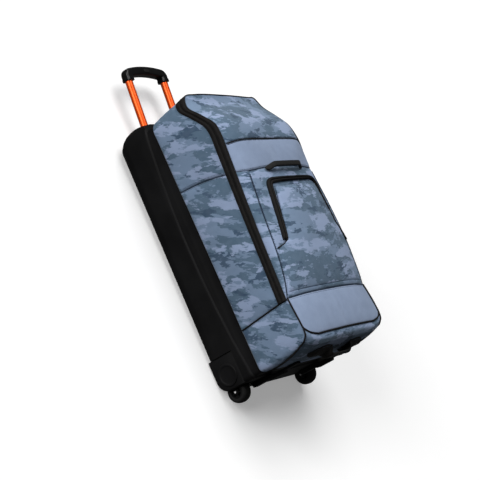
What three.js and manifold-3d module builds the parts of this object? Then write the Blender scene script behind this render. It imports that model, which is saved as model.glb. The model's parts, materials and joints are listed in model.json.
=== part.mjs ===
// Wheeled gear duffel bag, lying on its moulded back.
// Millimetres, +Z up. +X points to the wheels, -X to the handle, the near side is at -Y.
import * as THREE from 'three';
import { mergeVertices } from 'three/addons/utils/BufferGeometryUtils.js';
import Module from 'manifold-3d';

const wasm = await Module();
wasm.setup();

// Walls and clearances
const GAP = 0.3;
const CLOTH = 2;
const PLASTIC = 3;

// Chassis tray
const HALF_WIDTH = 207;
const TOP_X = -392;
const BOTTOM_X = 398;
const TOP_CORNER = 42;
const BOTTOM_CORNER = 16;
const TOP_FILLET = 46;
const BOTTOM_FILLET = 25;
const RIM_Z = 148;
const RIM_STEP = 4;
const RIM_TOP_LEAN = 15;
const RIDGE_LOW_Z = 96;
const RIDGE_RISE = 27;
const RIDGE_MIDDLE_X = 20;

// Wheels and their housings
const WHEEL_X = 405;
const WHEEL_Y = 172;
const WHEEL_Z = 38;
const WHEEL_RADIUS = 33;
const WHEEL_WIDTH = 34;
const HUB_RADIUS = 19;
const AXLE_RADIUS = 4;
const HOUSING = { x0: 300, x1: 397, y0: 132, y1: 206.5, z0: 1, z1: 92, wall: 4, round: 34, edge: 6 };
const CHEEK = { thickness: 4, clear: 2.5, radius: 12, flare: 4 };
const HUB_CAP = { x: 356, z: 50, radius: 32, height: 3.6 };

// Telescopic handle, drawn out. It leaves the tray's top wall at TUBE_Z and leans up from the back.
// Places along it are measured from that wall: minus is outside.
const TUBE_Y = 84;
const TUBE_Z = 43;
const TUBE_LEAN = THREE.MathUtils.degToRad(5.5);
const TUBE_RADIUS = 11.5;
const TUBE_WALL = 1.5;
const TUBE_END = 102;
const GUIDE_RADIUS = 14;
const GUIDE_BORE = 11.9;
const GUIDE_START = 2.5;
const GUIDE_END = 253;
const COLLAR = { height: 10, radius: 18.5, chamfer: 3 };
const GRIP_FOOT = -180.5;
const GRIP_TOP = -226;
const GRIP_BAR = 27;
const GRIP_DEPTH = 28;
const GRIP_HALF = 97;
const GRIP_LEG = 27;
const GRIP_EDGE = 7;
const BUTTON = { length: 26, width: 11, sink: 4, proud: 1.5, at: -212 };
const SADDLE = { upper: 74, lower: 233, width: 20, shoulder: 9, slope: 12, bridge: 6 };

// Stations round the zip, from its lower end on the near side to the middle of the top end.
// rim: where the cloth leaves the tray. low and up: the two edges of the zip tape. y is the half width.
const STATIONS = table('rimX rimY lowX lowY lowZ upX upY upZ', [
  [268, 203, 256, 203, 292, 256, 202, 323],
  [180, 203, 180, 200, 294, 180, 199, 324],
  [20, 203, 20, 194, 297, 20, 194, 329],
  [-157, 203, -133, 189, 301, -124, 188, 336],
  [-215, 203, -210, 187.5, 304, -208, 185, 341],
  [-250, 203, -250, 187, 306, -246, 184.5, 342],
  [-278, 203, -280, 187, 301, -275, 184.5, 338],
  [-318, 203, -327, 187, 270, -319, 185.5, 308],
  [-356, 201.5, -364, 184, 241, -362, 183, 276],
  [-374, 187, -388, 174, 233, -393, 170, 271],
  [-373, 140, -395, 138, 243, -394, 136, 284],
  [-373, 0, -397, 0, 247, -394, 0, 290],
]);
const SIDE_SEAM = 3;
const UPPER_SEAM = 4;
const LID_CORNER = 9;
const TOP_CORNER_STATION = 9.5;
const LAST = STATIONS.length - 1;

// Seam between the lid's gusset and its front
const FRONT_SEAM = table('x y z', [
  [-116, 158, 356],
  [0, 175, 353],
  [122, 186, 348],
  [180, 190, 341.5],
  [222, 196, 334],
  [252, 201, 326],
]);

// Cross seams on the front: at the edge, part way in and in the middle
const LID_TOP_SEAM = table('x y z', [[-208, 185, 341], [-210, 140, 356], [-212, 0, 360]]);
const UPPER_LOW_SEAM = table('x y z', [[-116, 158, 356], [-120, 80, 366], [-121, 0, 368]]);
const LOWER_TOP_SEAM = table('x y z', [[252, 201, 326], [250, 128, 338], [249, 0, 342]]);
const LOWER_LOW_SEAM = table('x y z', [[367, 150, 337], [366.5, 75, 340], [366, 0, 341]]);

// Lower corner: the near edge of the lower panel, its rounded corner, and the piped edge of the side
const LOWER_EDGE = table('x y z', [[252, 201, 326], [300, 203.5, 331], [343, 203, 334]]);
const PANEL_CORNER = table('x y z', [[343, 203, 334], [358, 184, 336.5], [367, 150, 337]]);
const PIPED_FRONT = table('x y z', [[343, 203, 334], [362, 203, 331], [376, 203, 319]]);
const PIPED_END = table('x y z', [
  [376, 203, 319],
  [389, 203, 277],
  [396, 203, 236],
  [398, 203, 184],
  [394, 203, RIM_Z + GAP],
]);

// Front pocket: its outline on the front panel, and how far its cloth stands off
const POCKET = { topX: -84, round: 26 };
const POCKET_NEAR = { topY: 112, x: 98, y: 146 };
const POCKET_FAR = { topY: 134, x: 80, y: 152 };
const POCKET_FOOT = { x: 240, y: 178 };
const POCKET_RISE = 10;
const POCKET_STAND = 3;
const ZIP_BAND = { width: 18, thickness: 2.4 };

// Grab handles
const FRONT_HANDLE = { x: -115, half: 94, flat: 16, span: 62, rise: 14, width: 16, thickness: 6, stand: 1 };
const FRONT_SEAT_X = -110;
const BOTTOM_HANDLE = { x: 404.6, z: 274, half: 115, flat: 52, span: 42, rise: 17, width: 36, thickness: 4 };
const BOTTOM_DRAW = -2.5;

const PIPING_RADIUS = 2.4;
const COIL_RADIUS = 2.6;
const ZIP_CROWN = 1;
const SLIDER = { length: 14, width: 12, height: 5, upper: 19.6, lower: 19.8 };
const SKID = { y: 112, width: 22, trayX: BOTTOM_X + GAP, clothX: 403, slope: 4 };
const SKID_STEPS = { heights: [13, 17, 11], z: [56, 116, 172, 224] };

// Middle of the stuffed body: cloth is offset towards it, so neighbouring panels meet in a mitre
const CORE = new THREE.Box3(new THREE.Vector3(-300, -130, 60), new THREE.Vector3(330, 130, 268));

function finish(color, roughness, metalness = 0) {
  return new THREE.MeshStandardMaterial({ color, roughness, metalness });
}
const CAMO = finish(0x6b7f99, 0.9);
const PLAIN = finish(0x8393ac, 0.85);
const BLACK_CLOTH = finish(0x141414, 0.9);
const MOULDED = finish(0x161616, 0.6);
const RUBBER = finish(0x0f0f0f, 0.8);
const ORANGE = finish(0xf5551e, 0.35, 0.6);
const STEEL = finish(0xd0d0d0, 0.3, 1);

const bag = new THREE.Group();

// The handle and its guides lean together
function leaningGroup() {
  const group = new THREE.Group();
  group.position.set(TOP_X, 0, TUBE_Z);
  group.rotation.y = TUBE_LEAN;
  bag.add(group);
  return group;
}
const handle = leaningGroup();
const guides = leaningGroup();

// Rows of numbers under named columns
function table(columns, rows) {
  const names = columns.split(' ');
  return rows.map((row) => Object.fromEntries(names.map((name, i) => [name, row[i]])));
}

function point(x, y, z) {
  return new THREE.Vector3(x, y, z);
}

function add(name, geometry, material, group = bag) {
  const mesh = new THREE.Mesh(facingOut(geometry), material);
  mesh.name = name;
  group.add(mesh);
  return mesh;
}

// Merge corners and turn the faces outwards
function facingOut(source) {
  let geometry = source.clone();
  geometry.deleteAttribute('normal');
  geometry.deleteAttribute('uv');
  geometry = mergeVertices(geometry, 1e-4);
  const place = geometry.attributes.position;
  const index = geometry.index.array;
  let volume = 0;
  const [a, b, c] = [point(), point(), point()];
  for (let i = 0; i < index.length; i += 3) {
    a.fromBufferAttribute(place, index[i]);
    b.fromBufferAttribute(place, index[i + 1]);
    c.fromBufferAttribute(place, index[i + 2]);
    volume += a.dot(b.cross(c));
  }
  if (volume < 0) {
    for (let i = 0; i < index.length; i += 3) {
      [index[i], index[i + 1]] = [index[i + 1], index[i]];
    }
  }
  return geometry;
}

function solid(geometry) {
  const closed = facingOut(geometry);
  const vertProperties = new Float32Array(closed.attributes.position.array);
  const triVerts = new Uint32Array(closed.index.array);
  return new wasm.Manifold(new wasm.Mesh({ numProp: 3, vertProperties, triVerts }));
}

function geometryOf(body) {
  const mesh = body.getMesh();
  const geometry = new THREE.BufferGeometry();
  geometry.setAttribute('position', new THREE.BufferAttribute(new Float32Array(mesh.vertProperties), 3));
  geometry.setIndex(new THREE.BufferAttribute(new Uint32Array(mesh.triVerts), 1));
  return geometry;
}

function geometryFrom(points, faces) {
  const geometry = new THREE.BufferGeometry();
  const flat = points.flatMap((p) => [p.x, p.y, p.z]);
  geometry.setAttribute('position', new THREE.BufferAttribute(new Float32Array(flat), 3));
  geometry.setIndex(faces.flat());
  return geometry;
}

function block(x0, x1, y0, y1, z0, z1) {
  const geometry = new THREE.BoxGeometry(x1 - x0, y1 - y0, z1 - z0);
  return geometry.translate((x0 + x1) / 2, (y0 + y1) / 2, (z0 + z1) / 2);
}

// Direction from the stuffed middle out through a point of the skin
function outward(p) {
  const nearest = CORE.clampPoint(p, point());
  return p.clone().sub(nearest).normalize();
}

function lifted(p, height) {
  return p.clone().addScaledVector(outward(p), height);
}

const mirrored = (p) => point(p.x, -p.y, p.z);

// Smooth curve through a short table, on the near side
function nearCurve(rows) {
  return new THREE.CatmullRomCurve3(rows.map((r) => point(r.x, -r.y, r.z)), false, 'centripetal');
}

// Seam across the front, from the near edge over the middle to the far edge
function crossCurve(rows) {
  const near = rows.map((r) => point(r.x, -r.y, r.z));
  const far = near.slice(0, -1).reverse().map(mirrored);
  return new THREE.CatmullRomCurve3([...near, ...far], false, 'centripetal');
}

// Curves end to end: each takes its own number of the edge's divisions
function chain(...pieces) {
  const total = pieces.reduce((sum, [, share]) => sum + share, 0);
  const path = new THREE.Curve();
  path.getPoint = (t) => {
    let left = t * total;
    for (const [curve, share] of pieces) {
      if (left <= share + 1e-6) return curve.getPoint(Math.min(1, left / share));
      left -= share;
    }
    return pieces[pieces.length - 1][0].getPoint(1);
  };
  return path;
}

const straight = (a, b) => new THREE.LineCurve3(a, b);

function reversed(curve) {
  const back = new THREE.Curve();
  back.getPoint = (t) => curve.getPoint(1 - t);
  return back;
}

function flipped(curve) {
  const other = new THREE.Curve();
  other.getPoint = (t) => mirrored(curve.getPoint(t));
  return other;
}

// Edge of the zip ring by station: 0 is the near lower end, 2 * LAST the far lower end
function ringEdge(placeOf) {
  const near = STATIONS.map(placeOf);
  const far = near.slice(0, -1).reverse().map(mirrored);
  const curve = new THREE.CatmullRomCurve3([...near, ...far], false, 'centripetal');
  return (station) => curve.getPoint(station / (2 * LAST));
}

const rimAt = ringEdge((s) => point(s.rimX, -s.rimY, RIM_Z + GAP));
const lowAt = ringEdge((s) => point(s.lowX, -s.lowY, s.lowZ));
const upAt = ringEdge((s) => point(s.upX, -s.upY, s.upZ));

function ringStretch(edgeAt, from, to) {
  const stretch = new THREE.Curve();
  stretch.getPoint = (t) => edgeAt(from + (to - from) * t);
  return stretch;
}

// Four-sided sheet between its edges: low and high run the same way, start and end join them
function sheet(low, high, start, end, across, up, crown) {
  const corner = [low.getPoint(0), low.getPoint(1), high.getPoint(0), high.getPoint(1)];
  const rows = [];
  for (let j = 0; j <= up; j++) {
    const v = j / up;
    const row = [];
    for (let i = 0; i <= across; i++) {
      const u = i / across;
      const p = point(0, 0, 0);
      p.addScaledVector(low.getPoint(u), 1 - v).addScaledVector(high.getPoint(u), v);
      p.addScaledVector(start.getPoint(v), 1 - u).addScaledVector(end.getPoint(v), u);
      p.addScaledVector(corner[0], -(1 - u) * (1 - v)).addScaledVector(corner[1], -u * (1 - v));
      p.addScaledVector(corner[2], -(1 - u) * v).addScaledVector(corner[3], -u * v);
      const swell = crown * Math.sqrt(Math.sin(Math.PI * u) * Math.sin(Math.PI * v) + 1e-9);
      row.push(lifted(p, swell));
    }
    rows.push(row);
  }
  return rows;
}

// Draw the border of a sheet in, so that neighbours keep their gap
function drawnIn(rows, distance) {
  const last = rows.length - 1;
  const end = rows[0].length - 1;
  const pull = (p, towards) => p.clone().add(towards.clone().sub(p).setLength(distance));
  return rows.map((row, j) => row.map((p, i) => {
    let q = p;
    if (j === 0 || j === last) q = pull(q, rows[j === 0 ? 1 : last - 1][i]);
    if (i === 0 || i === end) q = pull(q, row[i === 0 ? 1 : end - 1]);
    return q;
  }));
}

// Closed wall from a sheet: the outer skin and the same skin moved in
function wallOf(rows, thickness, lift = 0) {
  const across = rows[0].length;
  const up = rows.length;
  const outer = rows.flat().map((p) => lifted(p, lift));
  const inner = rows.flat().map((p) => lifted(p, lift - thickness));
  const count = outer.length;
  const faces = [];
  const at = (j, i) => j * across + i;
  for (let j = 0; j < up - 1; j++) {
    for (let i = 0; i < across - 1; i++) {
      const [a, b, c, d] = [at(j, i), at(j, i + 1), at(j + 1, i + 1), at(j + 1, i)];
      faces.push([a, b, c], [a, c, d]);
      faces.push([a + count, c + count, b + count], [a + count, d + count, c + count]);
    }
  }
  const border = [];
  for (let i = 0; i < across - 1; i++) border.push(at(0, i));
  for (let j = 0; j < up - 1; j++) border.push(at(j, across - 1));
  for (let i = across - 1; i > 0; i--) border.push(at(up - 1, i));
  for (let j = up - 1; j > 0; j--) border.push(at(j, 0));
  border.forEach((a, k) => {
    const b = border[(k + 1) % border.length];
    faces.push([b, a, a + count], [b, a + count, b + count]);
  });
  return geometryFrom([...outer, ...inner], faces);
}

function clothPanel(name, edges, grid, crown, material) {
  const rows = sheet(...edges, ...grid, crown);
  add(name, wallOf(drawnIn(rows, GAP), CLOTH), material);
}

// Closed bar through rings of equal size, one at each point of a path
function sweptBar(rings) {
  const size = rings[0].length;
  const faces = [];
  for (let k = 1; k < size - 1; k++) faces.push([0, k, k + 1]);
  for (let i = 0; i < rings.length - 1; i++) {
    for (let k = 0; k < size; k++) {
      const a = size * i + k;
      const b = size * i + ((k + 1) % size);
      faces.push([b, a, a + size], [b, a + size, b + size]);
    }
  }
  const e = size * (rings.length - 1);
  for (let k = 1; k < size - 1; k++) faces.push([e, e + k + 1, e + k]);
  return geometryFrom(rings.flat(), faces);
}

function directionAt(points, i) {
  const before = points[Math.max(i - 1, 0)];
  const after = points[Math.min(i + 1, points.length - 1)];
  return after.clone().sub(before).normalize();
}

// Round cord along a curve of the skin, standing clear of it
function cordOn(curve, radius, steps, lift = 0) {
  const places = [];
  for (let i = 0; i <= steps; i++) {
    places.push(lifted(curve.getPoint(i / steps), radius + 2 * GAP + lift));
  }
  const sides = 6;
  const rings = places.map((p, i) => {
    const along = directionAt(places, i);
    const across = along.clone().cross(outward(p)).normalize();
    const up = across.clone().cross(along);
    return Array.from({ length: sides }, (_, k) => {
      const angle = 2 * Math.PI * k / sides;
      const aside = p.clone().addScaledVector(across, radius * Math.cos(angle));
      return aside.addScaledVector(up, radius * Math.sin(angle));
    });
  });
  return sweptBar(rings);
}

// Flat strap along points: wide along one fixed direction
function strap(points, wide, width, thickness) {
  const rings = points.map((p, i) => {
    const normal = directionAt(points, i).cross(wide).normalize();
    return [[-1, -1], [1, -1], [1, 1], [-1, 1]].map(([w, n]) => {
      const edge = p.clone().addScaledVector(wide, w * width / 2);
      return edge.addScaledVector(normal, n * thickness / 2);
    });
  });
  return sweptBar(rings);
}

// Outline seen from above: rounded corners, with outward normals and points along the long sides
function planOutline() {
  const corners = [
    { x: BOTTOM_X, y: -HALF_WIDTH, radius: BOTTOM_CORNER, from: 0 },
    { x: TOP_X, y: -HALF_WIDTH, radius: TOP_CORNER, from: -90 },
    { x: TOP_X, y: HALF_WIDTH, radius: TOP_CORNER, from: -180 },
    { x: BOTTOM_X, y: HALF_WIDTH, radius: BOTTOM_CORNER, from: -270 },
  ];
  const arcSteps = 5;
  const sideSteps = 7;
  const outline = [];
  corners.forEach((c) => {
    const cx = c.x - Math.sign(c.x) * c.radius;
    const cy = c.y - Math.sign(c.y) * c.radius;
    if (c.from === -90 || c.from === -270) {
      const last = outline[outline.length - 1];
      for (let i = 1; i < sideSteps; i++) {
        outline.push({ x: last.x + (cx - last.x) * i / sideSteps, y: last.y, nx: 0, ny: last.ny });
      }
    }
    for (let i = 0; i <= arcSteps; i++) {
      const angle = THREE.MathUtils.degToRad(c.from - 90 * i / arcSteps);
      const n = { nx: Math.cos(angle), ny: Math.sin(angle) };
      outline.push({ x: cx + c.radius * n.nx, y: cy + c.radius * n.ny, ...n });
    }
  });
  return outline;
}

// Closed shell through rings of equal length, capped at both ends
function ringShell(rings) {
  const size = rings[0].length;
  const points = rings.flat();
  const faces = [];
  for (let k = 0; k < rings.length - 1; k++) {
    for (let i = 0; i < size; i++) {
      const a = k * size + i;
      const b = k * size + ((i + 1) % size);
      faces.push([a, b, b + size], [a, b + size, a + size]);
    }
  }
  const cap = (k, turned) => {
    const centre = rings[k].reduce((sum, p) => sum.add(p), point(0, 0, 0)).divideScalar(size);
    const hub = points.push(centre) - 1;
    for (let i = 0; i < size; i++) {
      const a = k * size + i;
      const b = k * size + ((i + 1) % size);
      faces.push(turned ? [hub, b, a] : [hub, a, b]);
    }
  };
  cap(0, true);
  cap(rings.length - 1, false);
  return geometryFrom(points, faces);
}

// Ridge height on the tray's wall: low along the middle of the bag, rising to both ends
function ridgeZ(x) {
  const away = (x - RIDGE_MIDDLE_X) / (BOTTOM_X - RIDGE_MIDDLE_X);
  return RIDGE_LOW_Z + RIDGE_RISE * Math.min(1, away * away);
}

function rimInset(p) {
  return RIM_STEP + RIM_TOP_LEAN * Math.max(0, -p.nx) ** 2;
}

// Round of the tray's back edge: large at the handle's end, smaller towards the wheels
function filletAt(x) {
  return TOP_FILLET + (BOTTOM_FILLET - TOP_FILLET) * (x - TOP_X) / (BOTTOM_X - TOP_X);
}

// Room for a guide tube between two places along it
function guideBore(side, from, to) {
  const radius = GUIDE_RADIUS + GAP;
  const bore = new THREE.CylinderGeometry(radius, radius, to - from, 20).rotateZ(Math.PI / 2);
  bore.translate((from + to) / 2, side * TUBE_Y, 0).rotateY(TUBE_LEAN);
  return solid(bore.translate(TOP_X, 0, TUBE_Z));
}

function chassisTray() {
  const outline = planOutline();
  const ring = (insetOf, zOf) => outline.map((p) => {
    const inset = insetOf(p);
    return point(p.x - p.nx * inset, p.y - p.ny * inset, zOf(p));
  });
  const filletRing = (angle, offset) => ring(
    (p) => offset + (filletAt(p.x) - offset) * (1 - Math.cos(angle)),
    (p) => offset + (filletAt(p.x) - offset) * (1 - Math.sin(angle)),
  );
  const angles = [90, 68, 45, 22, 0].map(THREE.MathUtils.degToRad);
  const outer = angles.map((angle) => filletRing(angle, 0));
  outer.push(ring(() => 0, (p) => ridgeZ(p.x)));
  outer.push(ring(rimInset, (p) => ridgeZ(p.x) + RIM_STEP));
  outer.push(ring(rimInset, () => RIM_Z));
  const inner = angles.map((angle) => filletRing(angle, PLASTIC));
  inner.push(ring((p) => PLASTIC + rimInset(p), (p) => ridgeZ(p.x) - RIM_STEP));
  inner.push(ring((p) => PLASTIC + rimInset(p), () => RIM_Z));
  let body = solid(ringShell([...outer, ...inner.reverse()]));
  [-1, 1].forEach((side) => {
    const h = HOUSING;
    const past = 10;
    const [y0, y1] = [side * (h.y0 - GAP), side * (HALF_WIDTH + past)].sort((a, b) => a - b);
    body = body.subtract(solid(block(h.x0 - GAP, BOTTOM_X + past, y0, y1, -past, h.z1 + GAP)));
    body = body.subtract(guideBore(side, -2 * past, 2 * past));
  });
  add('chassis_tray', geometryOf(body), MOULDED);
}

// Outline in the x-z plane with rounded lower corners, extruded along y
function sideProfile(x0, x1, z0, z1, round) {
  const shape = new THREE.Shape();
  shape.moveTo(x0, z0);
  shape.lineTo(x1 - round, z0);
  shape.absarc(x1 - round, z0 + round, round, -Math.PI / 2, 0);
  shape.lineTo(x1, z1);
  shape.lineTo(x0, z1);
  return shape;
}

function alongY(shape, y0, y1, options = {}) {
  const plain = { depth: y1 - y0, bevelEnabled: false, curveSegments: 6 };
  const geometry = new THREE.ExtrudeGeometry(shape, { ...plain, ...options });
  return geometry.rotateX(Math.PI / 2).translate(0, y1, 0);
}

function wheelHousing(name, side) {
  const h = HOUSING;
  const e = h.edge;
  const outline = sideProfile(h.x0 + e, h.x1 - e, h.z0 + e, h.z1 - e, h.round - e);
  const bevel = { bevelEnabled: true, bevelSize: e, bevelThickness: e, bevelSegments: 2 };
  let body = solid(alongY(outline, h.y0 + e, h.y1 - e, bevel));
  const room = sideProfile(h.x0 + h.wall, h.x1 - h.wall, h.z0 + h.wall, h.z1 - h.wall, h.round - h.wall);
  body = body.subtract(solid(alongY(room, h.y0 + h.wall, h.y1 - h.wall)));
  const slot = WHEEL_WIDTH / 2 + CHEEK.clear;
  const mouth = block(h.x1 - 30, h.x1 + 10, WHEEL_Y - slot, WHEEL_Y + slot, h.z0 + 2, h.z1 - 10);
  body = body.subtract(solid(mouth));
  const root = h.x1 - h.wall;
  const halfRoot = CHEEK.radius + CHEEK.flare;
  const cheek = new THREE.Shape();
  cheek.moveTo(root, WHEEL_Z - halfRoot);
  cheek.lineTo(WHEEL_X, WHEEL_Z - CHEEK.radius);
  cheek.absarc(WHEEL_X, WHEEL_Z, CHEEK.radius, -Math.PI / 2, Math.PI / 2);
  cheek.lineTo(root, WHEEL_Z + halfRoot);
  const inside = WHEEL_Y - slot;
  body = body.add(solid(alongY(cheek, inside - CHEEK.thickness, inside)));
  const bore = new THREE.CylinderGeometry(AXLE_RADIUS + GAP, AXLE_RADIUS + GAP, 60, 16);
  body = body.subtract(solid(bore.translate(WHEEL_X, WHEEL_Y, WHEEL_Z)));
  const geometry = geometryOf(body);
  if (side < 0) geometry.scale(1, -1, 1);
  add(name, geometry, MOULDED);
}

// Ring turned about an axis along y, from a closed profile of radius and y
function turned(profile, segments) {
  const loop = [...profile, profile[0]].map(([radius, y]) => new THREE.Vector2(radius, y));
  return new THREE.LatheGeometry(loop, segments);
}

function wheel(prefix, side) {
  const group = new THREE.Group();
  group.position.set(WHEEL_X, side * WHEEL_Y, WHEEL_Z);
  bag.add(group);
  const w = WHEEL_WIDTH / 2;
  const r = WHEEL_RADIUS;
  const seat = HUB_RADIUS + GAP;
  const tread = [[seat, -w], [r - 5, -w], [r - 1, -w + 5], [r, 0], [r - 1, w - 5], [r - 5, w], [seat, w]];
  add(`${prefix}_tyre`, turned(tread, 36), RUBBER, group);
  const bore = AXLE_RADIUS + GAP;
  const rim = HUB_RADIUS - 3;
  const web = 7;
  const hub = [
    [bore, -w], [bore + 4, -w], [bore + 5, -web], [rim - 1, -web], [rim, -w + 1], [HUB_RADIUS, -w + 1],
    [HUB_RADIUS, w - 1], [rim, w - 1], [rim - 1, web], [bore + 5, web], [bore + 4, w], [bore, w],
  ];
  add(`${prefix}_hub`, turned(hub, 24), MOULDED, group);
  const held = w + CHEEK.clear + CHEEK.thickness + GAP;
  const free = w + GAP;
  const head = AXLE_RADIUS + 2.5;
  const pin = [
    [0, -held - 2.5], [head - 1.5, -held - 2.5], [head, -held - 1], [head, -held], [AXLE_RADIUS, -held],
    [AXLE_RADIUS, free], [head, free], [head, free + 1], [head - 1.5, free + 2.5], [0, free + 2.5],
  ];
  const points = pin.map(([radius, y]) => new THREE.Vector2(radius, y));
  const axle = new THREE.LatheGeometry(points, 20);
  if (side < 0) axle.rotateX(Math.PI);
  add(`${prefix}_axle`, axle, STEEL, group);
}

function hubCap(name, side) {
  const c = HUB_CAP;
  const h = c.height;
  const edge = c.radius;
  const floor = h - 1.6;
  const face = [[edge, 0], [edge, h - 1.5], [edge - 1.5, h], [edge - 6, h], [edge - 8, floor]];
  const outline = [[0, 0], ...face, [0, floor]];
  const points = outline.map(([radius, y]) => new THREE.Vector2(radius, y));
  const geometry = new THREE.LatheGeometry(points, 28);
  if (side < 0) geometry.rotateX(Math.PI);
  const mesh = add(name, geometry, MOULDED);
  mesh.position.set(c.x, side * (HOUSING.y1 + GAP), c.z);
}

// Tube along the handle's lean from an inner and an outer radius
function pipe(from, to, inner, outer, side) {
  const geometry = turned([[inner, from], [outer, from], [outer, to], [inner, to]], 24);
  return geometry.rotateZ(-Math.PI / 2).translate(0, side * TUBE_Y, 0);
}

// Guide tube inside the tray, and the collar that stands on the tray's wall
function guideParts(prefix, side) {
  add(`${prefix}_guide`, pipe(GUIDE_START, GUIDE_END, GUIDE_BORE, GUIDE_RADIUS, side), STEEL, guides);
  const { height, radius, chamfer } = COLLAR;
  const profile = [
    [GUIDE_BORE, -height], [radius - chamfer, -height], [radius, chamfer - height],
    [radius, chamfer], [GUIDE_BORE, chamfer],
  ];
  const ring = turned(profile, 24).rotateZ(-Math.PI / 2).translate(0, side * TUBE_Y, 0);
  ring.rotateY(TUBE_LEAN).translate(TOP_X, 0, TUBE_Z);
  const wall = block(TOP_X - GAP, TOP_X + height, -HALF_WIDTH, HALF_WIDTH, 0, RIM_Z);
  add(`${prefix}_collar`, geometryOf(solid(ring).subtract(solid(wall))), MOULDED);
}

// Cross bar on the tray's back with a round seat for each guide tube
function saddle(name, at) {
  const s = SADDLE;
  const x = TOP_X + at * Math.cos(TUBE_LEAN);
  const top = TUBE_Z - at * Math.sin(TUBE_LEAN);
  const floor = PLASTIC + GAP;
  const reach = TUBE_Y + GUIDE_RADIUS + s.shoulder;
  const inner = TUBE_Y - GUIDE_RADIUS - s.shoulder;
  const outline = [
    [-reach, floor], [reach, floor], [reach, top], [inner, top], [inner - s.slope, floor + s.bridge],
    [s.slope - inner, floor + s.bridge], [-inner, top], [-reach, top],
  ];
  const shape = new THREE.Shape(outline.map(([y, z]) => new THREE.Vector2(y, z)));
  const geometry = new THREE.ExtrudeGeometry(shape, { depth: s.width, bevelEnabled: false });
  geometry.rotateX(Math.PI / 2).rotateZ(Math.PI / 2).translate(x - s.width / 2, 0, 0);
  let body = solid(geometry);
  [-1, 1].forEach((side) => {
    body = body.subtract(guideBore(side, at - 2 * s.width, at + 2 * s.width));
  });
  add(name, geometryOf(body), MOULDED);
}

// Rounded slot outline about a centre, long along y
function slotShape(x, length, width) {
  const shape = new THREE.Shape();
  const r = width / 2;
  const h = length / 2 - r;
  shape.absarc(x, h, r, 0, Math.PI);
  shape.absarc(x, -h, r, Math.PI, 2 * Math.PI);
  return shape;
}

function upright(shape, z0, z1, options = {}) {
  const plain = { depth: z1 - z0, bevelEnabled: false, curveSegments: 8 };
  const geometry = new THREE.ExtrudeGeometry(shape, { ...plain, ...options });
  return geometry.translate(0, 0, z0);
}

function telescopicHandle() {
  [['near', -1], ['far', 1]].forEach(([prefix, side]) => {
    const tube = pipe(GRIP_FOOT + GAP, TUBE_END, TUBE_RADIUS - TUBE_WALL, TUBE_RADIUS, side);
    add(`${prefix}_tube`, tube, ORANGE, handle);
  });
  const bevel = GRIP_EDGE;
  const outer = [
    [GRIP_FOOT, GRIP_HALF],
    [GRIP_FOOT - 26, GRIP_HALF],
    [GRIP_FOOT - 36, GRIP_HALF - 8],
    [GRIP_TOP + 3, 60],
    [GRIP_TOP, 30],
  ];
  const barX = GRIP_TOP + GRIP_BAR;
  const legY = GRIP_HALF - GRIP_LEG;
  const inner = [[barX, 40], [barX + 2, 60], [barX + 8, legY], [GRIP_FOOT, legY]];
  const mirror = (line) => [...line].reverse().map(([x, y]) => [x, -y]);
  const loop = [...outer, ...mirror(outer), ...mirror(inner), ...inner];
  const shape = new THREE.Shape(loop.map(([x, y]) => new THREE.Vector2(x, y)));
  const rounded = { bevelEnabled: true, bevelSegments: 2 };
  const options = { ...rounded, bevelSize: bevel, bevelThickness: bevel, bevelOffset: -bevel };
  const top = GRIP_DEPTH / 2;
  const b = BUTTON;
  let body = solid(upright(shape, bevel - top, top - bevel, options));
  const recess = slotShape(b.at, b.length + 2 * GAP, b.width + 2 * GAP);
  body = body.subtract(solid(upright(recess, top - b.sink - 2, top + b.sink)));
  add('grip', geometryOf(body), MOULDED, handle);
  const press = slotShape(b.at, b.length, b.width);
  add('release_button', upright(press, top - b.sink + 0.5, top + b.proud), RUBBER, handle);
}

// Stepped runner on the bottom end, over the tray's wall and the cloth
function skid(name, side) {
  const s = SKID;
  const shape = new THREE.Shape();
  const { heights, z } = SKID_STEPS;
  shape.moveTo(s.trayX, z[0]);
  heights.forEach((height, i) => {
    shape.lineTo(s.trayX + height, z[i] + s.slope);
    shape.lineTo(s.trayX + height, z[i + 1]);
  });
  shape.lineTo(s.clothX, z[3]);
  shape.lineTo(s.clothX, RIM_Z);
  shape.lineTo(s.trayX, z[1]);
  const y = side < 0 ? -s.y - s.width : s.y;
  add(name, alongY(shape, y, y + s.width), MOULDED);
}

// Curves shared by neighbouring panels
const frontSeam = nearCurve(FRONT_SEAM);
const lidTopSeam = crossCurve(LID_TOP_SEAM);
const upperLowSeam = crossCurve(UPPER_LOW_SEAM);
const lowerTopSeam = crossCurve(LOWER_TOP_SEAM);
const lowerLowSeam = crossCurve(LOWER_LOW_SEAM);
const lowerEdge = nearCurve(LOWER_EDGE);
const panelCorner = nearCurve(PANEL_CORNER);
const pipedFront = nearCurve(PIPED_FRONT);
const pipedEnd = nearCurve(PIPED_END);

function part(curve, from, to) {
  const piece = new THREE.Curve();
  piece.getPoint = (t) => curve.getPoint(from + (to - from) * t);
  return piece;
}

// Divisions of the panels: two to each station, and so many to each shared seam
const PER_STATION = 2;
const SIDE_ROWS = 5;
const FRONT_ACROSS = 14;
const FRONT_ROWS = PER_STATION * SIDE_SEAM;
const SEAM_ACROSS = 10;
const EDGE_SHARE = 4;
const BEND_SHARE = 2;
const END_SHARE = 6;

// Panel between the tray and the zip, from one station to another
function bodyPanel(name, from, to, crown) {
  const edges = [
    ringStretch(rimAt, from, to), ringStretch(lowAt, from, to),
    straight(rimAt(from), lowAt(from)), straight(rimAt(to), lowAt(to)),
  ];
  clothPanel(name, edges, [PER_STATION * (to - from), SIDE_ROWS], crown, CAMO);
}

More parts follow.
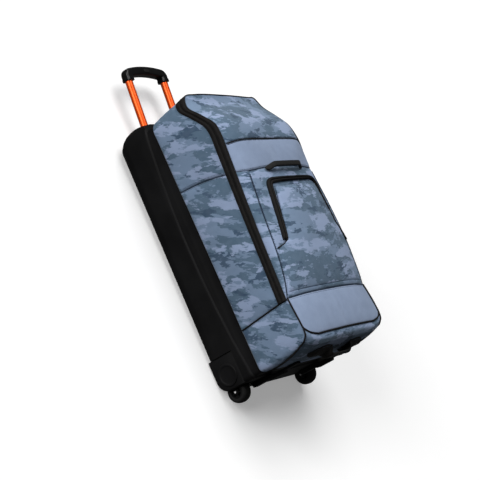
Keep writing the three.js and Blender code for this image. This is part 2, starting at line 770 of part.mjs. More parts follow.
function lowerSidePanel(name, side) {
  const seamEnd = frontSeam.getPoint(1);
  const left = chain(
    [straight(rimAt(0), lowAt(0)), END_SHARE - 2],
    [straight(lowAt(0), upAt(0)), 1],
    [straight(upAt(0), seamEnd), 1],
  );
  const low = straight(rimAt(0), pipedEnd.getPoint(1));
  const high = chain([lowerEdge, EDGE_SHARE], [pipedFront, BEND_SHARE]);
  const edges = [low, high, left, reversed(pipedEnd)];
  const placed = side < 0 ? edges : edges.map(flipped);
  clothPanel(name, placed, [EDGE_SHARE + BEND_SHARE, END_SHARE], 4, CAMO);
}

function bodyCloth() {
  const far = 2 * LAST;
  bodyPanel('near_mid_side', 0, SIDE_SEAM, 7);
  bodyPanel('near_upper_side', SIDE_SEAM, TOP_CORNER_STATION, 4);
  bodyPanel('top_panel', TOP_CORNER_STATION, far - TOP_CORNER_STATION, 5);
  bodyPanel('far_upper_side', far - TOP_CORNER_STATION, far - SIDE_SEAM, 4);
  bodyPanel('far_mid_side', far - SIDE_SEAM, far, 7);
  lowerSidePanel('near_lower_side', -1);
  lowerSidePanel('far_lower_side', 1);
  const nearCorner = [panelCorner, 2 * BEND_SHARE];
  const farCorner = [reversed(flipped(panelCorner)), 2 * BEND_SHARE];
  const front = chain(nearCorner, [lowerLowSeam, SEAM_ACROSS], farCorner);
  const nearEdge = chain([pipedFront, BEND_SHARE], [pipedEnd, END_SHARE]);
  const rim = straight(pipedEnd.getPoint(1), mirrored(pipedEnd.getPoint(1)));
  const grid = [SEAM_ACROSS + 4 * BEND_SHARE, BEND_SHARE + END_SHARE];
  clothPanel('bottom_panel', [front, rim, nearEdge, flipped(nearEdge)], grid, BOTTOM_DRAW, CAMO);
}

// The front under the pocket, kept so that other pieces can be laid on it
const frontEdges = [upperLowSeam, lowerTopSeam, frontSeam, flipped(frontSeam)];
const frontRows = sheet(...frontEdges, FRONT_ACROSS, FRONT_ROWS, 3);

// Height of a sheet above a place, looked up in the triangle that holds it
function heightOn(rows, x, y) {
  const flat = (p) => point(p.x, p.y, 0);
  const weights = point(0, 0, 0);
  for (let j = 0; j < rows.length - 1; j++) {
    for (let i = 0; i < rows[0].length - 1; i++) {
      const [a, b, c, d] = [rows[j][i], rows[j][i + 1], rows[j + 1][i + 1], rows[j + 1][i]];
      for (const [p, q, r] of [[a, b, c], [a, c, d]]) {
        THREE.Triangle.getBarycoord(point(x, y, 0), flat(p), flat(q), flat(r), weights);
        if (Math.min(weights.x, weights.y, weights.z) > -1e-3) {
          return p.z * weights.x + q.z * weights.y + r.z * weights.z;
        }
      }
    }
  }
  throw new Error(`no cloth at ${x} ${y}`);
}

const onFront = (x, y, stand) => point(x, y, heightOn(frontRows, x, y) + stand);

function lidCloth() {
  const far = 2 * LAST;
  const upNear = (from, to) => ringStretch(upAt, from, to);
  const upFar = (from, to) => ringStretch(upAt, far - from, far - to);
  const end = ringStretch(upAt, LID_CORNER, far - LID_CORNER);
  const lidEdges = [end, lidTopSeam, upNear(LID_CORNER, UPPER_SEAM), upFar(LID_CORNER, UPPER_SEAM)];
  const lidGrid = [PER_STATION * (far - 2 * LID_CORNER), PER_STATION * (LID_CORNER - UPPER_SEAM)];
  clothPanel('lid_top_panel', lidEdges, lidGrid, 8, CAMO);
  const toSeam = straight(upAt(SIDE_SEAM), frontSeam.getPoint(0));
  const upperLow = chain([toSeam, 1], [upperLowSeam, FRONT_ACROSS], [reversed(flipped(toSeam)), 1]);
  const upperEdges = [lidTopSeam, upperLow, upNear(UPPER_SEAM, SIDE_SEAM), upFar(UPPER_SEAM, SIDE_SEAM)];
  clothPanel('upper_panel', upperEdges, [FRONT_ACROSS + 2, PER_STATION], 1.5, PLAIN);
  add('front_panel', wallOf(drawnIn(frontRows, GAP), CLOTH), CAMO);
  const closing = straight(upAt(0), frontSeam.getPoint(1));
  const gusset = [upNear(SIDE_SEAM, 0), frontSeam, toSeam, closing];
  clothPanel('near_gusset', gusset, [FRONT_ROWS, 2], 2, CAMO);
  clothPanel('far_gusset', gusset.map(flipped), [FRONT_ROWS, 2], 2, CAMO);
  const bend = part(panelCorner, 0, 0.5);
  const foot = part(panelCorner, 0.5, 1);
  const nearEdge = chain([lowerEdge, EDGE_SHARE], [bend, BEND_SHARE]);
  const low = chain([foot, BEND_SHARE], [lowerLowSeam, SEAM_ACROSS], [reversed(flipped(foot)), BEND_SHARE]);
  const lowerEdges = [lowerTopSeam, low, nearEdge, flipped(nearEdge)];
  clothPanel('lower_panel', lowerEdges, [FRONT_ACROSS, EDGE_SHARE + BEND_SHARE], 4, PLAIN);
}

// Zip round three sides: tape in three lengths, one coil, and two sliders on the far side
function mainZip() {
  const far = 2 * LAST;
  const tape = (name, from, to) => {
    const edges = [
      ringStretch(lowAt, from, to), ringStretch(upAt, from, to),
      straight(lowAt(from), upAt(from)), straight(lowAt(to), upAt(to)),
    ];
    clothPanel(name, edges, [PER_STATION * (to - from), 2], ZIP_CROWN, BLACK_CLOTH);
  };
  tape('near_zip_tape', 0, TOP_CORNER_STATION);
  tape('top_zip_tape', TOP_CORNER_STATION, far - TOP_CORNER_STATION);
  tape('far_zip_tape', far - TOP_CORNER_STATION, far);
  const middle = new THREE.Curve();
  middle.getPoint = (t) => lowAt(t * far).add(upAt(t * far)).multiplyScalar(0.5);
  add('main_zip_coil', cordOn(middle, COIL_RADIUS, PER_STATION * far, ZIP_CROWN + GAP), BLACK_CLOTH);
  const { length, width, height } = SLIDER;
  ['upper', 'lower'].forEach((prefix) => {
    const seat = lifted(middle.getPoint(SLIDER[prefix] / far), ZIP_CROWN + 2 * COIL_RADIUS + 7 * GAP);
    const slider = block(-length / 2, length / 2, 0, height, -width / 2, width / 2);
    add(`${prefix}_slider`, slider.translate(seat.x, seat.y, seat.z), BLACK_CLOTH);
  });
}

// Pocket outline on the front: near edge, top and far edge, with rounded upper corners
function pocketEdge() {
  const { topX, round } = POCKET;
  const [near, far] = [POCKET_NEAR, POCKET_FAR];
  const flare = 4;
  const outline = new THREE.Path();
  outline.moveTo(near.x, -near.y);
  outline.lineTo(topX + round, -near.topY - flare);
  outline.quadraticCurveTo(topX, -near.topY, topX, -near.topY + round);
  outline.lineTo(topX, far.topY - round);
  outline.quadraticCurveTo(topX, far.topY, topX + round, far.topY + flare);
  outline.lineTo(far.x, far.y);
  return outline;
}

function frontPocket() {
  const p = POCKET;
  const inset = ZIP_BAND.width + 2 * GAP;
  const flat = (x, y) => point(x, y, 0);
  const nearTop = flat(p.topX + inset + 5, -POCKET_NEAR.topY + inset + 6);
  const nearLow = flat(POCKET_NEAR.x, -POCKET_NEAR.y + inset);
  const nearFoot = flat(POCKET_FOOT.x, -POCKET_FOOT.y);
  const farTop = flat(p.topX + inset, POCKET_FAR.topY - 4);
  const farLow = flat(POCKET_FAR.x, POCKET_FAR.y);
  const farFoot = flat(POCKET_FOOT.x, POCKET_FOOT.y);
  const nearEdge = chain([straight(nearTop, nearLow), 1], [straight(nearLow, nearFoot), 1]);
  const farEdge = chain([straight(farTop, farLow), 1], [straight(farLow, farFoot), 1]);
  const across = 12;
  const down = 12;
  const rows = [];
  for (let j = 0; j <= down; j++) {
    const v = j / down;
    const [a, b] = [nearEdge.getPoint(v), farEdge.getPoint(v)];
    const row = [];
    for (let i = 0; i <= across; i++) {
      const u = i / across;
      const swell = POCKET_RISE * Math.sqrt(Math.sin(Math.PI * u)) * Math.sin(Math.PI * Math.sqrt(v)) ** 0.6;
      row.push(onFront(a.x + (b.x - a.x) * u, a.y + (b.y - a.y) * u, POCKET_STAND + (swell || 0)));
    }
    rows.push(row);
  }
  add('pocket_panel', wallOf(rows, CLOTH), CAMO);
  const outline = pocketEdge();
  const stops = 22;
  const zipStart = 0.01;
  const zipEnd = 0.66;
  const band = [[], []];
  for (let i = 0; i <= stops; i++) {
    const share = zipStart + (zipEnd - zipStart) * i / stops;
    const at = outline.getPointAt(share);
    const along = outline.getTangentAt(share);
    [0, ZIP_BAND.width].forEach((away, k) => {
      band[k].push(onFront(at.x + along.y * away, at.y - along.x * away, POCKET_STAND + 0.5));
    });
  }
  add('pocket_zip', wallOf(band, ZIP_BAND.thickness), BLACK_CLOTH);
  const farSide = new THREE.Curve();
  farSide.getPoint = (t) => {
    const at = outline.getPointAt(zipEnd + 0.02 + (0.98 - zipEnd) * t);
    return onFront(at.x, at.y + 2 * PIPING_RADIUS, 0);
  };
  add('pocket_piping', cordOn(farSide, PIPING_RADIUS, 14), BLACK_CLOTH);
}

// Arched strap: flat at both ends, raised between
function archedPoints({ half, flat, span, rise }, placeOf) {
  const stops = [-half, -half + flat, -(half - flat + span) / 2, -span, -span / 2];
  const all = [...stops, 0, ...stops.map((y) => -y).reverse()];
  const up = (y) => rise * THREE.MathUtils.smoothstep(half - Math.abs(y), flat, half - span);
  return all.map((y) => placeOf(y, up(y)));
}

function grabHandles() {
  const f = FRONT_HANDLE;
  const seat = f.thickness / 2 + f.stand;
  const front = archedPoints(f, (y, up) => {
    const under = onFront(FRONT_SEAT_X, y, seat + up);
    return point(f.x, under.y, under.z);
  });
  add('front_handle', strap(front, point(1, 0, 0), f.width, f.thickness), BLACK_CLOTH);
  const b = BOTTOM_HANDLE;
  const bottom = archedPoints(b, (y, up) => point(b.x + up, y, b.z));
  add('bottom_handle', strap(bottom, point(0, 0, 1), b.width, b.thickness), BLACK_CLOTH);
}

function piping() {
  const cord = (name, curve, steps) => add(name, cordOn(curve, PIPING_RADIUS, steps), BLACK_CLOTH);
  const sideSeam = straight(rimAt(0).add(point(0, 0, 4)), lowAt(0));
  const nearCorner = [panelCorner, 2 * BEND_SHARE];
  const farCorner = [reversed(flipped(panelCorner)), 2 * BEND_SHARE];
  const lowerOutline = chain(nearCorner, [lowerLowSeam, SEAM_ACROSS], farCorner);
  const edge = part(lowerEdge, 0.04, 0.94);
  const corner = chain([pipedFront, BEND_SHARE], [part(pipedEnd, 0, 0.97), END_SHARE]);
  cord('near_side_piping', sideSeam, 3);
  cord('far_side_piping', flipped(sideSeam), 3);
  cord('near_edge_piping', edge, 6);
  cord('far_edge_piping', flipped(edge), 6);
  cord('near_corner_piping', part(corner, 0.06, 1), 14);
  cord('far_corner_piping', flipped(part(corner, 0.06, 1)), 14);
  cord('lower_panel_piping', part(lowerOutline, 0.03, 0.97), 24);
  cord('lower_seam_piping', part(lowerTopSeam, 0.04, 0.96), 16);
  cord('lid_seam_piping', part(lidTopSeam, 0.02, 0.98), 18);
  cord('near_front_piping', part(frontSeam, 0.04, 0.9), 14);
  cord('far_front_piping', flipped(part(frontSeam, 0.04, 0.9)), 14);
}

chassisTray();
[['near', -1], ['far', 1]].forEach(([prefix, side]) => {
  wheelHousing(`${prefix}_wheel_housing`, side);
  wheel(prefix, side);
  hubCap(`${prefix}_hub_cap`, side);
  guideParts(prefix, side);
  skid(`${prefix}_skid`, side);
});
saddle('upper_saddle', SADDLE.upper);
saddle('lower_saddle', SADDLE.lower);
telescopicHandle();
bodyCloth();
mainZip();
lidCloth();
frontPocket();
grabHandles();
piping();

export default bag;
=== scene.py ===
"""Looks of a wheeled gear duffel bag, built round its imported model.

Millimetres in the tables, metres in the scene. +X points to the wheels, the near side is at -Y.
"""
import json
import math
from types import SimpleNamespace as Sizes

import bmesh
import bpy
import numpy as np
from mathutils import Matrix, Vector, noise
from mathutils.bvhtree import BVHTree


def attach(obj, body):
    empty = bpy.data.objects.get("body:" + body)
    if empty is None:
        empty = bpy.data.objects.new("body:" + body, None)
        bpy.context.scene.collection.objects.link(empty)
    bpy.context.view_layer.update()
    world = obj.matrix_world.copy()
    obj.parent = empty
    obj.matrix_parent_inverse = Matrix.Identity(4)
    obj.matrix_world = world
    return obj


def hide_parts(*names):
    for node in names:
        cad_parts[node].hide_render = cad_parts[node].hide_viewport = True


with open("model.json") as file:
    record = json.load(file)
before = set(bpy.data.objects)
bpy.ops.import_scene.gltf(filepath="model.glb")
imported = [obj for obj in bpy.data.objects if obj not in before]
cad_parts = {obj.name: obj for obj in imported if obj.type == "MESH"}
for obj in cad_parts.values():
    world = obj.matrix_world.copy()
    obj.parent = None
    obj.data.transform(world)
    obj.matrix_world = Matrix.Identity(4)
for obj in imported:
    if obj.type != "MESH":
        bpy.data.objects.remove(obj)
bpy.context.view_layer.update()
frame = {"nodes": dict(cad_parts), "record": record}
NODES = frame["nodes"]
SLOT_OF = {entry["node"]: entry["material_slot"] for entry in frame["record"]["subparts"]}
BODY_OF = {node: body for body, nodes in frame["record"]["behaviour"]["bodies"].items() for node in nodes}
MM = 0.001
UPRIGHT = (0, 0, 1)

# Cloth
CLOTH = 1.6
CELL = 4.5
GAP = 0.3
RIM_Z = 148
FOOT_Z = RIM_Z + GAP
SEAM_BOW = 5
FRONT_CROWN = 3
BOTTOM_CROWN = -2.5
PIPING_STEP = 4

# Relief of the cloth: reach of the dip at a seam, its puckers, and the waves and creases between seams
DIP_REACH = 3.5
PUCKER_SIZE = 11
PUCKER_REACH = 16
WAVE_SIZE = 62
CREASE_SIZE = 24
CREASE_SHARE = 0.45
FREE_REACH = 12

# Stuffing: cloth held at its seams, a little longer than the gap, pressed from inside; caps limit its move
STUFF_FRAMES = 20
STUFF_PRESSURE = 4.0
STUFF_MASS = 0.002
STUFF_SLACK = 0.012
BODY_CAP = 3
LID_CAP = 1.5

# Stations round the zip, near lower end to the middle of the top end, y as half width:
# rim x, rim y, low edge x y z, up edge x y z
STATIONS = np.array([
    [268, 203, 256, 203, 292, 256, 202, 323],
    [180, 203, 180, 200, 294, 180, 199, 324],
    [20, 203, 20, 194, 297, 20, 194, 329],
    [-157, 203, -133, 189, 301, -124, 188, 336],
    [-215, 203, -210, 187.5, 304, -208, 185, 341],
    [-250, 203, -250, 187, 306, -246, 184.5, 342],
    [-278, 203, -280, 187, 301, -275, 184.5, 338],
    [-318, 203, -327, 187, 270, -319, 185.5, 308],
    [-356, 201.5, -364, 184, 241, -362, 183, 276],
    [-374, 187, -390, 174, 235, -397, 170, 278],
    [-373, 140, -395, 138, 243, -397, 136, 289],
    [-373, 0, -397, 0, 247, -395, 0, 292],
], float)
TAPE_HIDDEN = 0.08
# How far the cloth sags on the far side, by station; minus where it stands fuller
FAR_SAG = {4: -6, 5: -2, 6: 2, 7: -2, 8: -8, 10: 8}
LAST = len(STATIONS) - 1
FAR = 2 * LAST
SIDE_SEAM = 3
UPPER_SEAM = 4
LID_CORNER = 9
TOP_CORNER = 9.5

# Seams of the lid and the lower corner, x y z with y as half width
FRONT_SEAM = [
    (-116, 158, 356), (0, 175, 353), (122, 186, 348), (180, 190, 341.5), (222, 196, 334), (252, 201, 326),
]
LID_TOP_SEAM = [(-208, 185, 341), (-210, 142, 359), (-212, 0, 361)]
UPPER_LOW_SEAM = [(-116, 158, 356), (-120, 80, 366), (-121, 0, 368)]
LOWER_TOP_SEAM = [(252, 201, 326), (250, 128, 338), (249, 0, 342)]
LOWER_LOW_SEAM = [(367, 150, 337), (366.5, 75, 340), (366, 0, 341)]
LOWER_EDGE = [(252, 201, 326), (300, 203.5, 331), (343, 203, 334)]
PANEL_CORNER = [(343, 203, 334), (358, 184, 336.5), (367, 150, 337)]
PIPED_FRONT = [(343, 203, 334), (362, 203, 331), (376, 203, 319)]
PIPED_END = [(376, 203, 319), (389, 198, 277), (396, 191, 236), (398, 180, 184), (394, 170, FOOT_Z)]
FOOT_CORNER = [(376, 203, FOOT_Z), (389, 199, FOOT_Z), (394, 187, FOOT_Z), (394, 170, FOOT_Z)]

# Shares of the joined edges
EDGE_SHARE = 4
BEND_SHARE = 2
END_SHARE = 6
SEAM_ACROSS = 10
FRONT_ACROSS = 14

# Front pocket: the zip band's outline, and the panel's near and far edge as place down the panel, x, y
POCKET_TOP_X = -84
POCKET_ROUND = 26
POCKET_NEAR = (112, 98, 146)
POCKET_FAR = (134, 80, 152)
POCKET_EDGES = np.array([
    [(0, -60, -87), (0.52, 99, -130), (0.56, 106, -150), (0.62, 117, -176), (1, 240, -192)],
    [(0, -65, 130), (0.45, 64, 152), (0.56, 98, 170), (0.64, 118, 178), (1, 240, 192)],
])
POCKET_STAND = 3
POCKET_RISE = 10
POCKET_SINK = 4.5
POCKET_SINK_REACH = 10
POCKET_ZIP_END = 0.80
OUTLINE_POINTS = 201
POCKET_HOOK = [(88, -128), (99, -135), (107, -146), (112, -162), (117, -181)]
# The pocket's zip band: place along the outline, how far its outer and inner edges lie inwards
POCKET_BAND = np.array([
    (0, -2, 14), (0.03, -2, 17), (0.30, -2, 17), (0.42, -2, 12), (0.60, -2, 10), (0.72, -2, 7), (0.80, -2, 5),
])

# Rolled lips of a zip band: place across from the middle to the edge, height
LIP = [
    (0, 1.6), (0.07, 1.8), (0.13, 3.2), (0.28, 4.4), (0.52, 4.6),
    (0.74, 3.7), (0.82, 2.6), (0.91, 3.2), (1, 1.4),
]
LIP_END = 1.03

# Main zip: its lengths overlap by part of a station, and its lips are flatter near the middle of the top end
ZIP_POINTS = 560
ZIP_OVERLAP = 0.02
ZIP_OVERHANG = 1.5
ZIP_TURN_IN = -0.8
ZIP_FLAT = 0.25
ZIP_FLAT_STATIONS = 1.6
TOOTH_PITCH = 2.6
POCKET_TOOTH_PITCH = 2.4
SLIDERS = {"upper_slider": 19.6, "lower_slider": 19.8}
SLIDER = Sizes(stand=4.2, half=7, width=12, taper=3, height=4.4, bridge=2.6, pull=34)

# Telescopic handle: it leans about the place where it leaves the tray
HANDLE_FOOT = (-392, 43)
HANDLE_LEAN = math.radians(5.5)
GRIP = Sizes(
    foot=-180.5, leg_y=83.5, corner=11, bar=-213.5, arch=6, arch_at=70,
    width=27, depth=28, edge=6, foot_length=7, foot_fuller=0.07,
)
BUTTON = Sizes(at=-212, length=26.8, width=11.8, sink=6)

# The tray's wall at the handle's end curves out between its back edge and its ridge
END_WALL = Sizes(x=-392, depth=45, low=24, high=123, bulge=10, cuts=10)

# Rounds on the edges of hard pieces
TRAY_ROUND = 1.5
BUTTON_ROUND = 1.0
AXLE_ROUND = 0.4
SIDE_ROUNDS = {"wheel_housing": 1.2, "hub_cap": 0.7, "collar": 0.8, "skid": 1.6, "tube": 0.3}
SHARP_DEGREES = 35

# Wheels: half profiles and the spoke's outline as radius and place across
WHEEL = Sizes(x=405, y=172, z=38)
TYRE = [
    (19.3, 16.4), (20.2, 17), (26.4, 17), (27.6, 16.4), (28.2, 15.2), (29.2, 14.6), (31, 12.4),
    (32.2, 9), (32.8, 5.6), (32.5, 4.9), (32.4, 4), (32.9, 3.4), (33, 0),
]
HUB = [
    (4.3, 0), (4.3, 17), (8.3, 17), (8.9, 16.4), (9.3, 7.4), (10, 7), (14.6, 7),
    (15.3, 7.4), (16, 16), (19, 16), (19, 0),
]
SPOKES = 5
SPOKE_FACES = (6.5, 14.5)
SPOKE_OUTLINE = ((9, -1.8), (15.6, -1.3), (15.6, 1.3), (9, 1.8))

# Grab handles
FRONT_HANDLE = Sizes(x=-115, lean=5, half=94, flat=10, span=60, rise=13, width=16, thickness=7)
BOTTOM_HANDLE = Sizes(x=404.6, z=274, half=115, flat=52, span=42, rise=17, width=36, thickness=4)
SLEEVE = Sizes(tip=140, mouth=46, half_width=33, cover=3.2, widest=0.65, narrowing=0.22, hollow=8)
STRAP_POINTS = 61

# Middle of the stuffed body
CORE_LOW = np.array([-300, -130, 60.0])
CORE_HIGH = np.array([330, 130, 268.0])

# Camera
LENS_PIXELS = 1400
FRAME_PIXELS = 480
SENSOR = 36
EYE = Vector((0.8360, -3.3137, 2.3036))
RIGHT = Vector((0.402, 0.57075, 0.71599))
FORWARD = Vector((-0.20728, 0.81838, -0.53599))

# Light: direction towards each lamp, its width in degrees, its power
LAMPS = {"overhead": ((-0.52, 0.0, 0.85), 46, 2.2), "front": ((-0.36, -0.66, 0.26), 40, 2.35)}
SKY_POWER = 0.08
WHITE = (1, 1, 1, 1)
FLOOR_HALF = 20000
FLOOR_Z = -0.5


# Arrays of points

def shares(count):
    """Even places from 0 to 1."""
    return np.linspace(0, 1, count)


def unit(vectors):
    return vectors / np.maximum(np.linalg.norm(vectors, axis=-1, keepdims=True), 1e-9)


def spacing(points, axis=0):
    """Distances between neighbouring points."""
    return np.linalg.norm(np.diff(points, axis=axis), axis=-1)


def run_along(points):
    return np.concatenate([[0], np.cumsum(spacing(points))])


def at_stops(points, run, stops):
    return np.column_stack([np.interp(stops, run, points[:, k]) for k in range(points.shape[1])])


def respaced(points, count):
    """The same path with points at even steps."""
    run = run_along(points)
    return at_stops(points, run, np.linspace(0, run[-1], count))


# Curves are functions from an array of places 0..1 to points

def smooth(points):
    """Centripetal Catmull-Rom curve through points, as the model's own curves are."""
    pts = np.asarray(points, float)
    count = len(pts)
    first = 2 * pts[0] - pts[1]
    last = 2 * pts[-1] - pts[-2]
    padded = np.vstack([first, pts, last])

    def at(t):
        place = np.clip(t, 0, 1) * (count - 1)
        k = np.minimum(place.astype(int), count - 2)
        w = (place - k)[:, None]
        p0, p1, p2, p3 = (padded[k + i] for i in range(4))
        pairs = ((p0, p1), (p1, p2), (p2, p3))
        d0, d1, d2 = (np.sqrt(np.linalg.norm(b - a, axis=1))[:, None] for a, b in pairs)
        m1 = ((p1 - p0) / d0 - (p2 - p0) / (d0 + d1) + (p2 - p1) / d1) * d1
        m2 = ((p2 - p1) / d1 - (p3 - p1) / (d1 + d2) + (p3 - p2) / d2) * d1
        cubic = 2 * p1 - 2 * p2 + m1 + m2
        square = -3 * p1 + 3 * p2 - 2 * m1 - m2
        return p1 + m1 * w + square * w ** 2 + cubic * w ** 3

    return at


def mirrored(points):
    return np.asarray(points, float) * np.array([1, -1, 1])


def near(rows):
    return smooth(mirrored(rows))


def across(rows):
    """Curve over the middle from the near edge to the far edge."""
    side = mirrored(rows)
    return smooth(np.vstack([side, mirrored(side[:-1][::-1])]))


def flipped(curve):
    return lambda t: mirrored(curve(t))


def backwards(curve):
    return lambda t: curve(1 - t)


def part(curve, start, end):
    return lambda t: curve(start + (end - start) * t)


def straight(a, b):
    a, b = np.asarray(a, float), np.asarray(b, float)
    return lambda t: a + (b - a) * t[:, None]


def chain(*pieces):
    """Curves end to end, each with its share of the whole."""
    ends = np.cumsum([share for _, share in pieces]) / sum(share for _, share in pieces)

    def at(t):
        result = np.zeros((len(t), 3))
        start = 0.0
        for (curve, _), end in zip(pieces, ends):
            inside = (t >= start - 1e-9) & (t <= end + 1e-9)
            if inside.any():
                result[inside] = curve(np.clip((t[inside] - start) / (end - start), 0, 1))
            start = end
        return result

    return at


def one(curve, t):
    return curve(np.array([t], float))[0]


def ring(columns, z=None):
    """Edge of the zip ring: a curve over the station numbers 0 to FAR."""
    side = STATIONS[:, columns]
    if z is not None:
        side = np.column_stack([side, np.full(len(side), z)])
    far = side[:-1][::-1].copy()
    if z is None:
        for station, sag in FAR_SAG.items():
            far[LAST - 1 - station, 2] -= sag
    whole = smooth(np.vstack([mirrored(side), far]))
    return lambda a, b: part(whole, a / FAR, b / FAR)


# The cloth is turned in over both edges of the tape, so less of it shows
STATIONS[:, 2:5], STATIONS[:, 5:8] = (
    STATIONS[:, 2:5] * (1 - TAPE_HIDDEN) + STATIONS[:, 5:8] * TAPE_HIDDEN,
    STATIONS[:, 5:8] * (1 - TAPE_HIDDEN) + STATIONS[:, 2:5] * TAPE_HIDDEN,
)
rim = ring([0, 1], FOOT_Z)
low = ring([2, 3, 4])
up = ring([5, 6, 7])
front_seam = near(FRONT_SEAM)
lid_top_seam = across(LID_TOP_SEAM)
upper_low_seam = across(UPPER_LOW_SEAM)
lower_top_seam = across(LOWER_TOP_SEAM)
lower_low_seam = across(LOWER_LOW_SEAM)
lower_edge = near(LOWER_EDGE)
panel_corner = near(PANEL_CORNER)
piped_front = near(PIPED_FRONT)
piped_end = near(PIPED_END)


def on_ring(edge, station):
    """Point of one edge of the zip ring at a station."""
    return one(edge(0, FAR), station / FAR)


def body_seam(station):
    """Seam from the tray up to the zip; the one across the side bows towards the top end."""
    line = straight(on_ring(rim, station), on_ring(low, station))
    bow = SEAM_BOW if station in (SIDE_SEAM, FAR - SIDE_SEAM) else 0
    return lambda t: line(t) - np.outer(np.sin(np.pi * t), [bow, 0, 0])


# Surfaces

def outward(points):
    return unit(points - np.clip(points, CORE_LOW, CORE_HIGH))


def patch(low_edge, high_edge, start, end, nu, nv):
    """Four-sided surface between its edges, as rows of points."""
    u = shares(nu + 1)
    v = shares(nv + 1)
    bottom, top, left, right = low_edge(u), high_edge(u), start(v), end(v)
    uu = u[None, :, None]
    vv = v[:, None, None]
    grid = (1 - vv) * bottom[None] + vv * top[None] + (1 - uu) * left[:, None] + uu * right[:, None]
    grid = grid - (1 - uu) * (1 - vv) * bottom[0] - uu * (1 - vv) * bottom[-1]
    return grid - (1 - uu) * vv * top[0] - uu * vv * top[-1]


def swell(grid, crown):
    rows, columns = grid.shape[:2]
    v = np.sin(np.pi * shares(rows))[:, None]
    u = np.sin(np.pi * shares(columns))[None, :]
    rise = crown * np.sqrt(np.clip(u * v, 0, 1))
    return grid + outward(grid) * rise[..., None]


def normals(grid):
    du = np.gradient(grid, axis=1)
    dv = np.gradient(grid, axis=0)
    n = unit(np.cross(du, dv))
    side = np.sign((n * outward(grid)).sum(-1, keepdims=True))
    return n * np.where(side == 0, 1, side)


def border_distance(grid):
    """Distance of each point from the nearest border, measured along the cloth."""
    def from_both(axis):
        step = spacing(grid, axis)
        zero = np.zeros_like(np.take(step, [0], axis=axis))
        run = np.concatenate([zero, np.cumsum(step, axis=axis)], axis=axis)
        return np.minimum(run, np.take(run, [-1], axis=axis) - run)

    return np.minimum(from_both(0), from_both(1))


def waves(grid, size, seed, stretch=(1, 1, 1)):
    """Smooth noise from -1 to 1 over the points, size in millimetres."""
    scaled = grid.reshape(-1, 3) * np.asarray(stretch) / size + seed * 17.3
    values = [noise.noise(Vector(p)) for p in scaled]
    return np.array(values).reshape(grid.shape[:-1])


def dressed(grid, seed, dip=2.2, pucker=0.9, wrinkle=1.3):
    """Cloth pulled in at its seams, with puckers beside them and soft waves between."""
    distance = border_distance(grid)
    seam = -dip * np.exp(-distance / DIP_REACH)
    gather = pucker * waves(grid, PUCKER_SIZE, seed) * np.exp(-distance / PUCKER_REACH)
    drag = wrinkle * waves(grid, WAVE_SIZE, seed + 1, (1.3, 0.7, 0.8))
    crease = CREASE_SHARE * wrinkle * waves(grid, CREASE_SIZE, seed + 2, (1.5, 0.6, 0.7))
    free = 1 - np.exp(-distance / FREE_REACH)
    move = seam + gather * np.minimum(1, distance / 2) + (drag + crease) * free
    return grid + normals(grid) * move[..., None]


def divisions(low_edge, high_edge, start, end):
    t = shares(60)
    edges = (low_edge, high_edge, start, end)
    length = [spacing(curve(t)).sum() for curve in edges]
    return max(6, round(max(length[:2]) / CELL)), max(4, round(max(length[2:]) / CELL))


def eased(value):
    t = np.clip(value, 0, 1)
    return t * t * (3 - 2 * t)


class Surface:
    """A panel's surface, met by lines along one axis."""

    def __init__(self, grid, axis):
        rows, columns = grid.shape[:2]
        self.axis = axis
        self.others = [k for k in range(3) if k != axis]
        self.middle = grid[..., axis].mean()
        self.tree = BVHTree.FromPolygons(grid.reshape(-1, 3).tolist(), grid_faces(rows, columns))

    def on(self, first, second, stand=0.0):
        """Points over the places given by the two other coordinates, lifted off the surface."""
        first, second = np.broadcast_arrays(np.asarray(first, float), np.asarray(second, float))
        points = np.zeros((*first.shape, 3))
        points[..., self.others[0]] = first
        points[..., self.others[1]] = second
        for index in np.ndindex(first.shape):
            points[index][self.axis] = self.height(points[index])
        points[..., self.axis] += stand
        return points

    def height(self, place):
        start = Vector(place)
        start[self.axis] = self.middle + 500
        direction = Vector((0, 0, 0))
        direction[self.axis] = -1
        hit = self.tree.ray_cast(start, direction)[0]
        if hit is None:
            start[self.axis] = self.middle
            hit = self.tree.find_nearest(start)[0]
        return hit[self.axis]


# Objects

def placed(name, data):
    piece = bpy.data.objects.new(name, data)
    bpy.context.collection.objects.link(piece)
    return piece


def new_object(name, vertices, faces, material):
    mesh = bpy.data.meshes.new(name)
    mesh.from_pydata((np.asarray(vertices) * MM).tolist(), [], faces)
    mesh.validate()
    mesh.polygons.foreach_set("use_smooth", [True] * len(mesh.polygons))
    mesh.materials.append(material)
    mesh.update()
    return placed(name, mesh)


def grid_faces(rows, columns, wrap=False, ring_of_rows=False):
    """Faces of a grid of points; its columns, and its rows, may close into a ring."""
    faces = []
    for j in range(rows if ring_of_rows else rows - 1):
        here, there = j * columns, (j + 1) % rows * columns
        for i in range(columns if wrap else columns - 1):
            k = (i + 1) % columns
            faces.append((here + i, here + k, there + k, there + i))
    return faces


def settle(piece, node, body="bag"):
    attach(piece, body)
    if node:
        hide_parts(node)
    return piece


# Every cloth piece by name: object, rows, columns, how far the stuffing may move it, what it is sewn to
CLOTHS = {}


def cloth_object(name, grid, material, node=None, cap=0.0, sewn_to="chassis_tray"):
    rows, columns = grid.shape[:2]
    faces = grid_faces(rows, columns)
    middle = (rows // 2, columns // 2)
    du = np.gradient(grid, axis=1)[middle]
    dv = np.gradient(grid, axis=0)[middle]
    if np.dot(np.cross(du, dv), outward(grid[middle][None])[0]) < 0:
        faces = [face[::-1] for face in faces]
    piece = new_object("cloth_" + name, grid.reshape(-1, 3), faces, material)
    settle(piece, node)
    CLOTHS[name] = (piece, rows, columns, cap, sewn_to)


def places(mesh):
    flat = np.empty(len(mesh.vertices) * 3)
    mesh.vertices.foreach_get("co", flat)
    return flat.reshape(-1, 3)


def move_to(mesh, points):
    mesh.vertices.foreach_set("co", points.ravel())
    mesh.update()


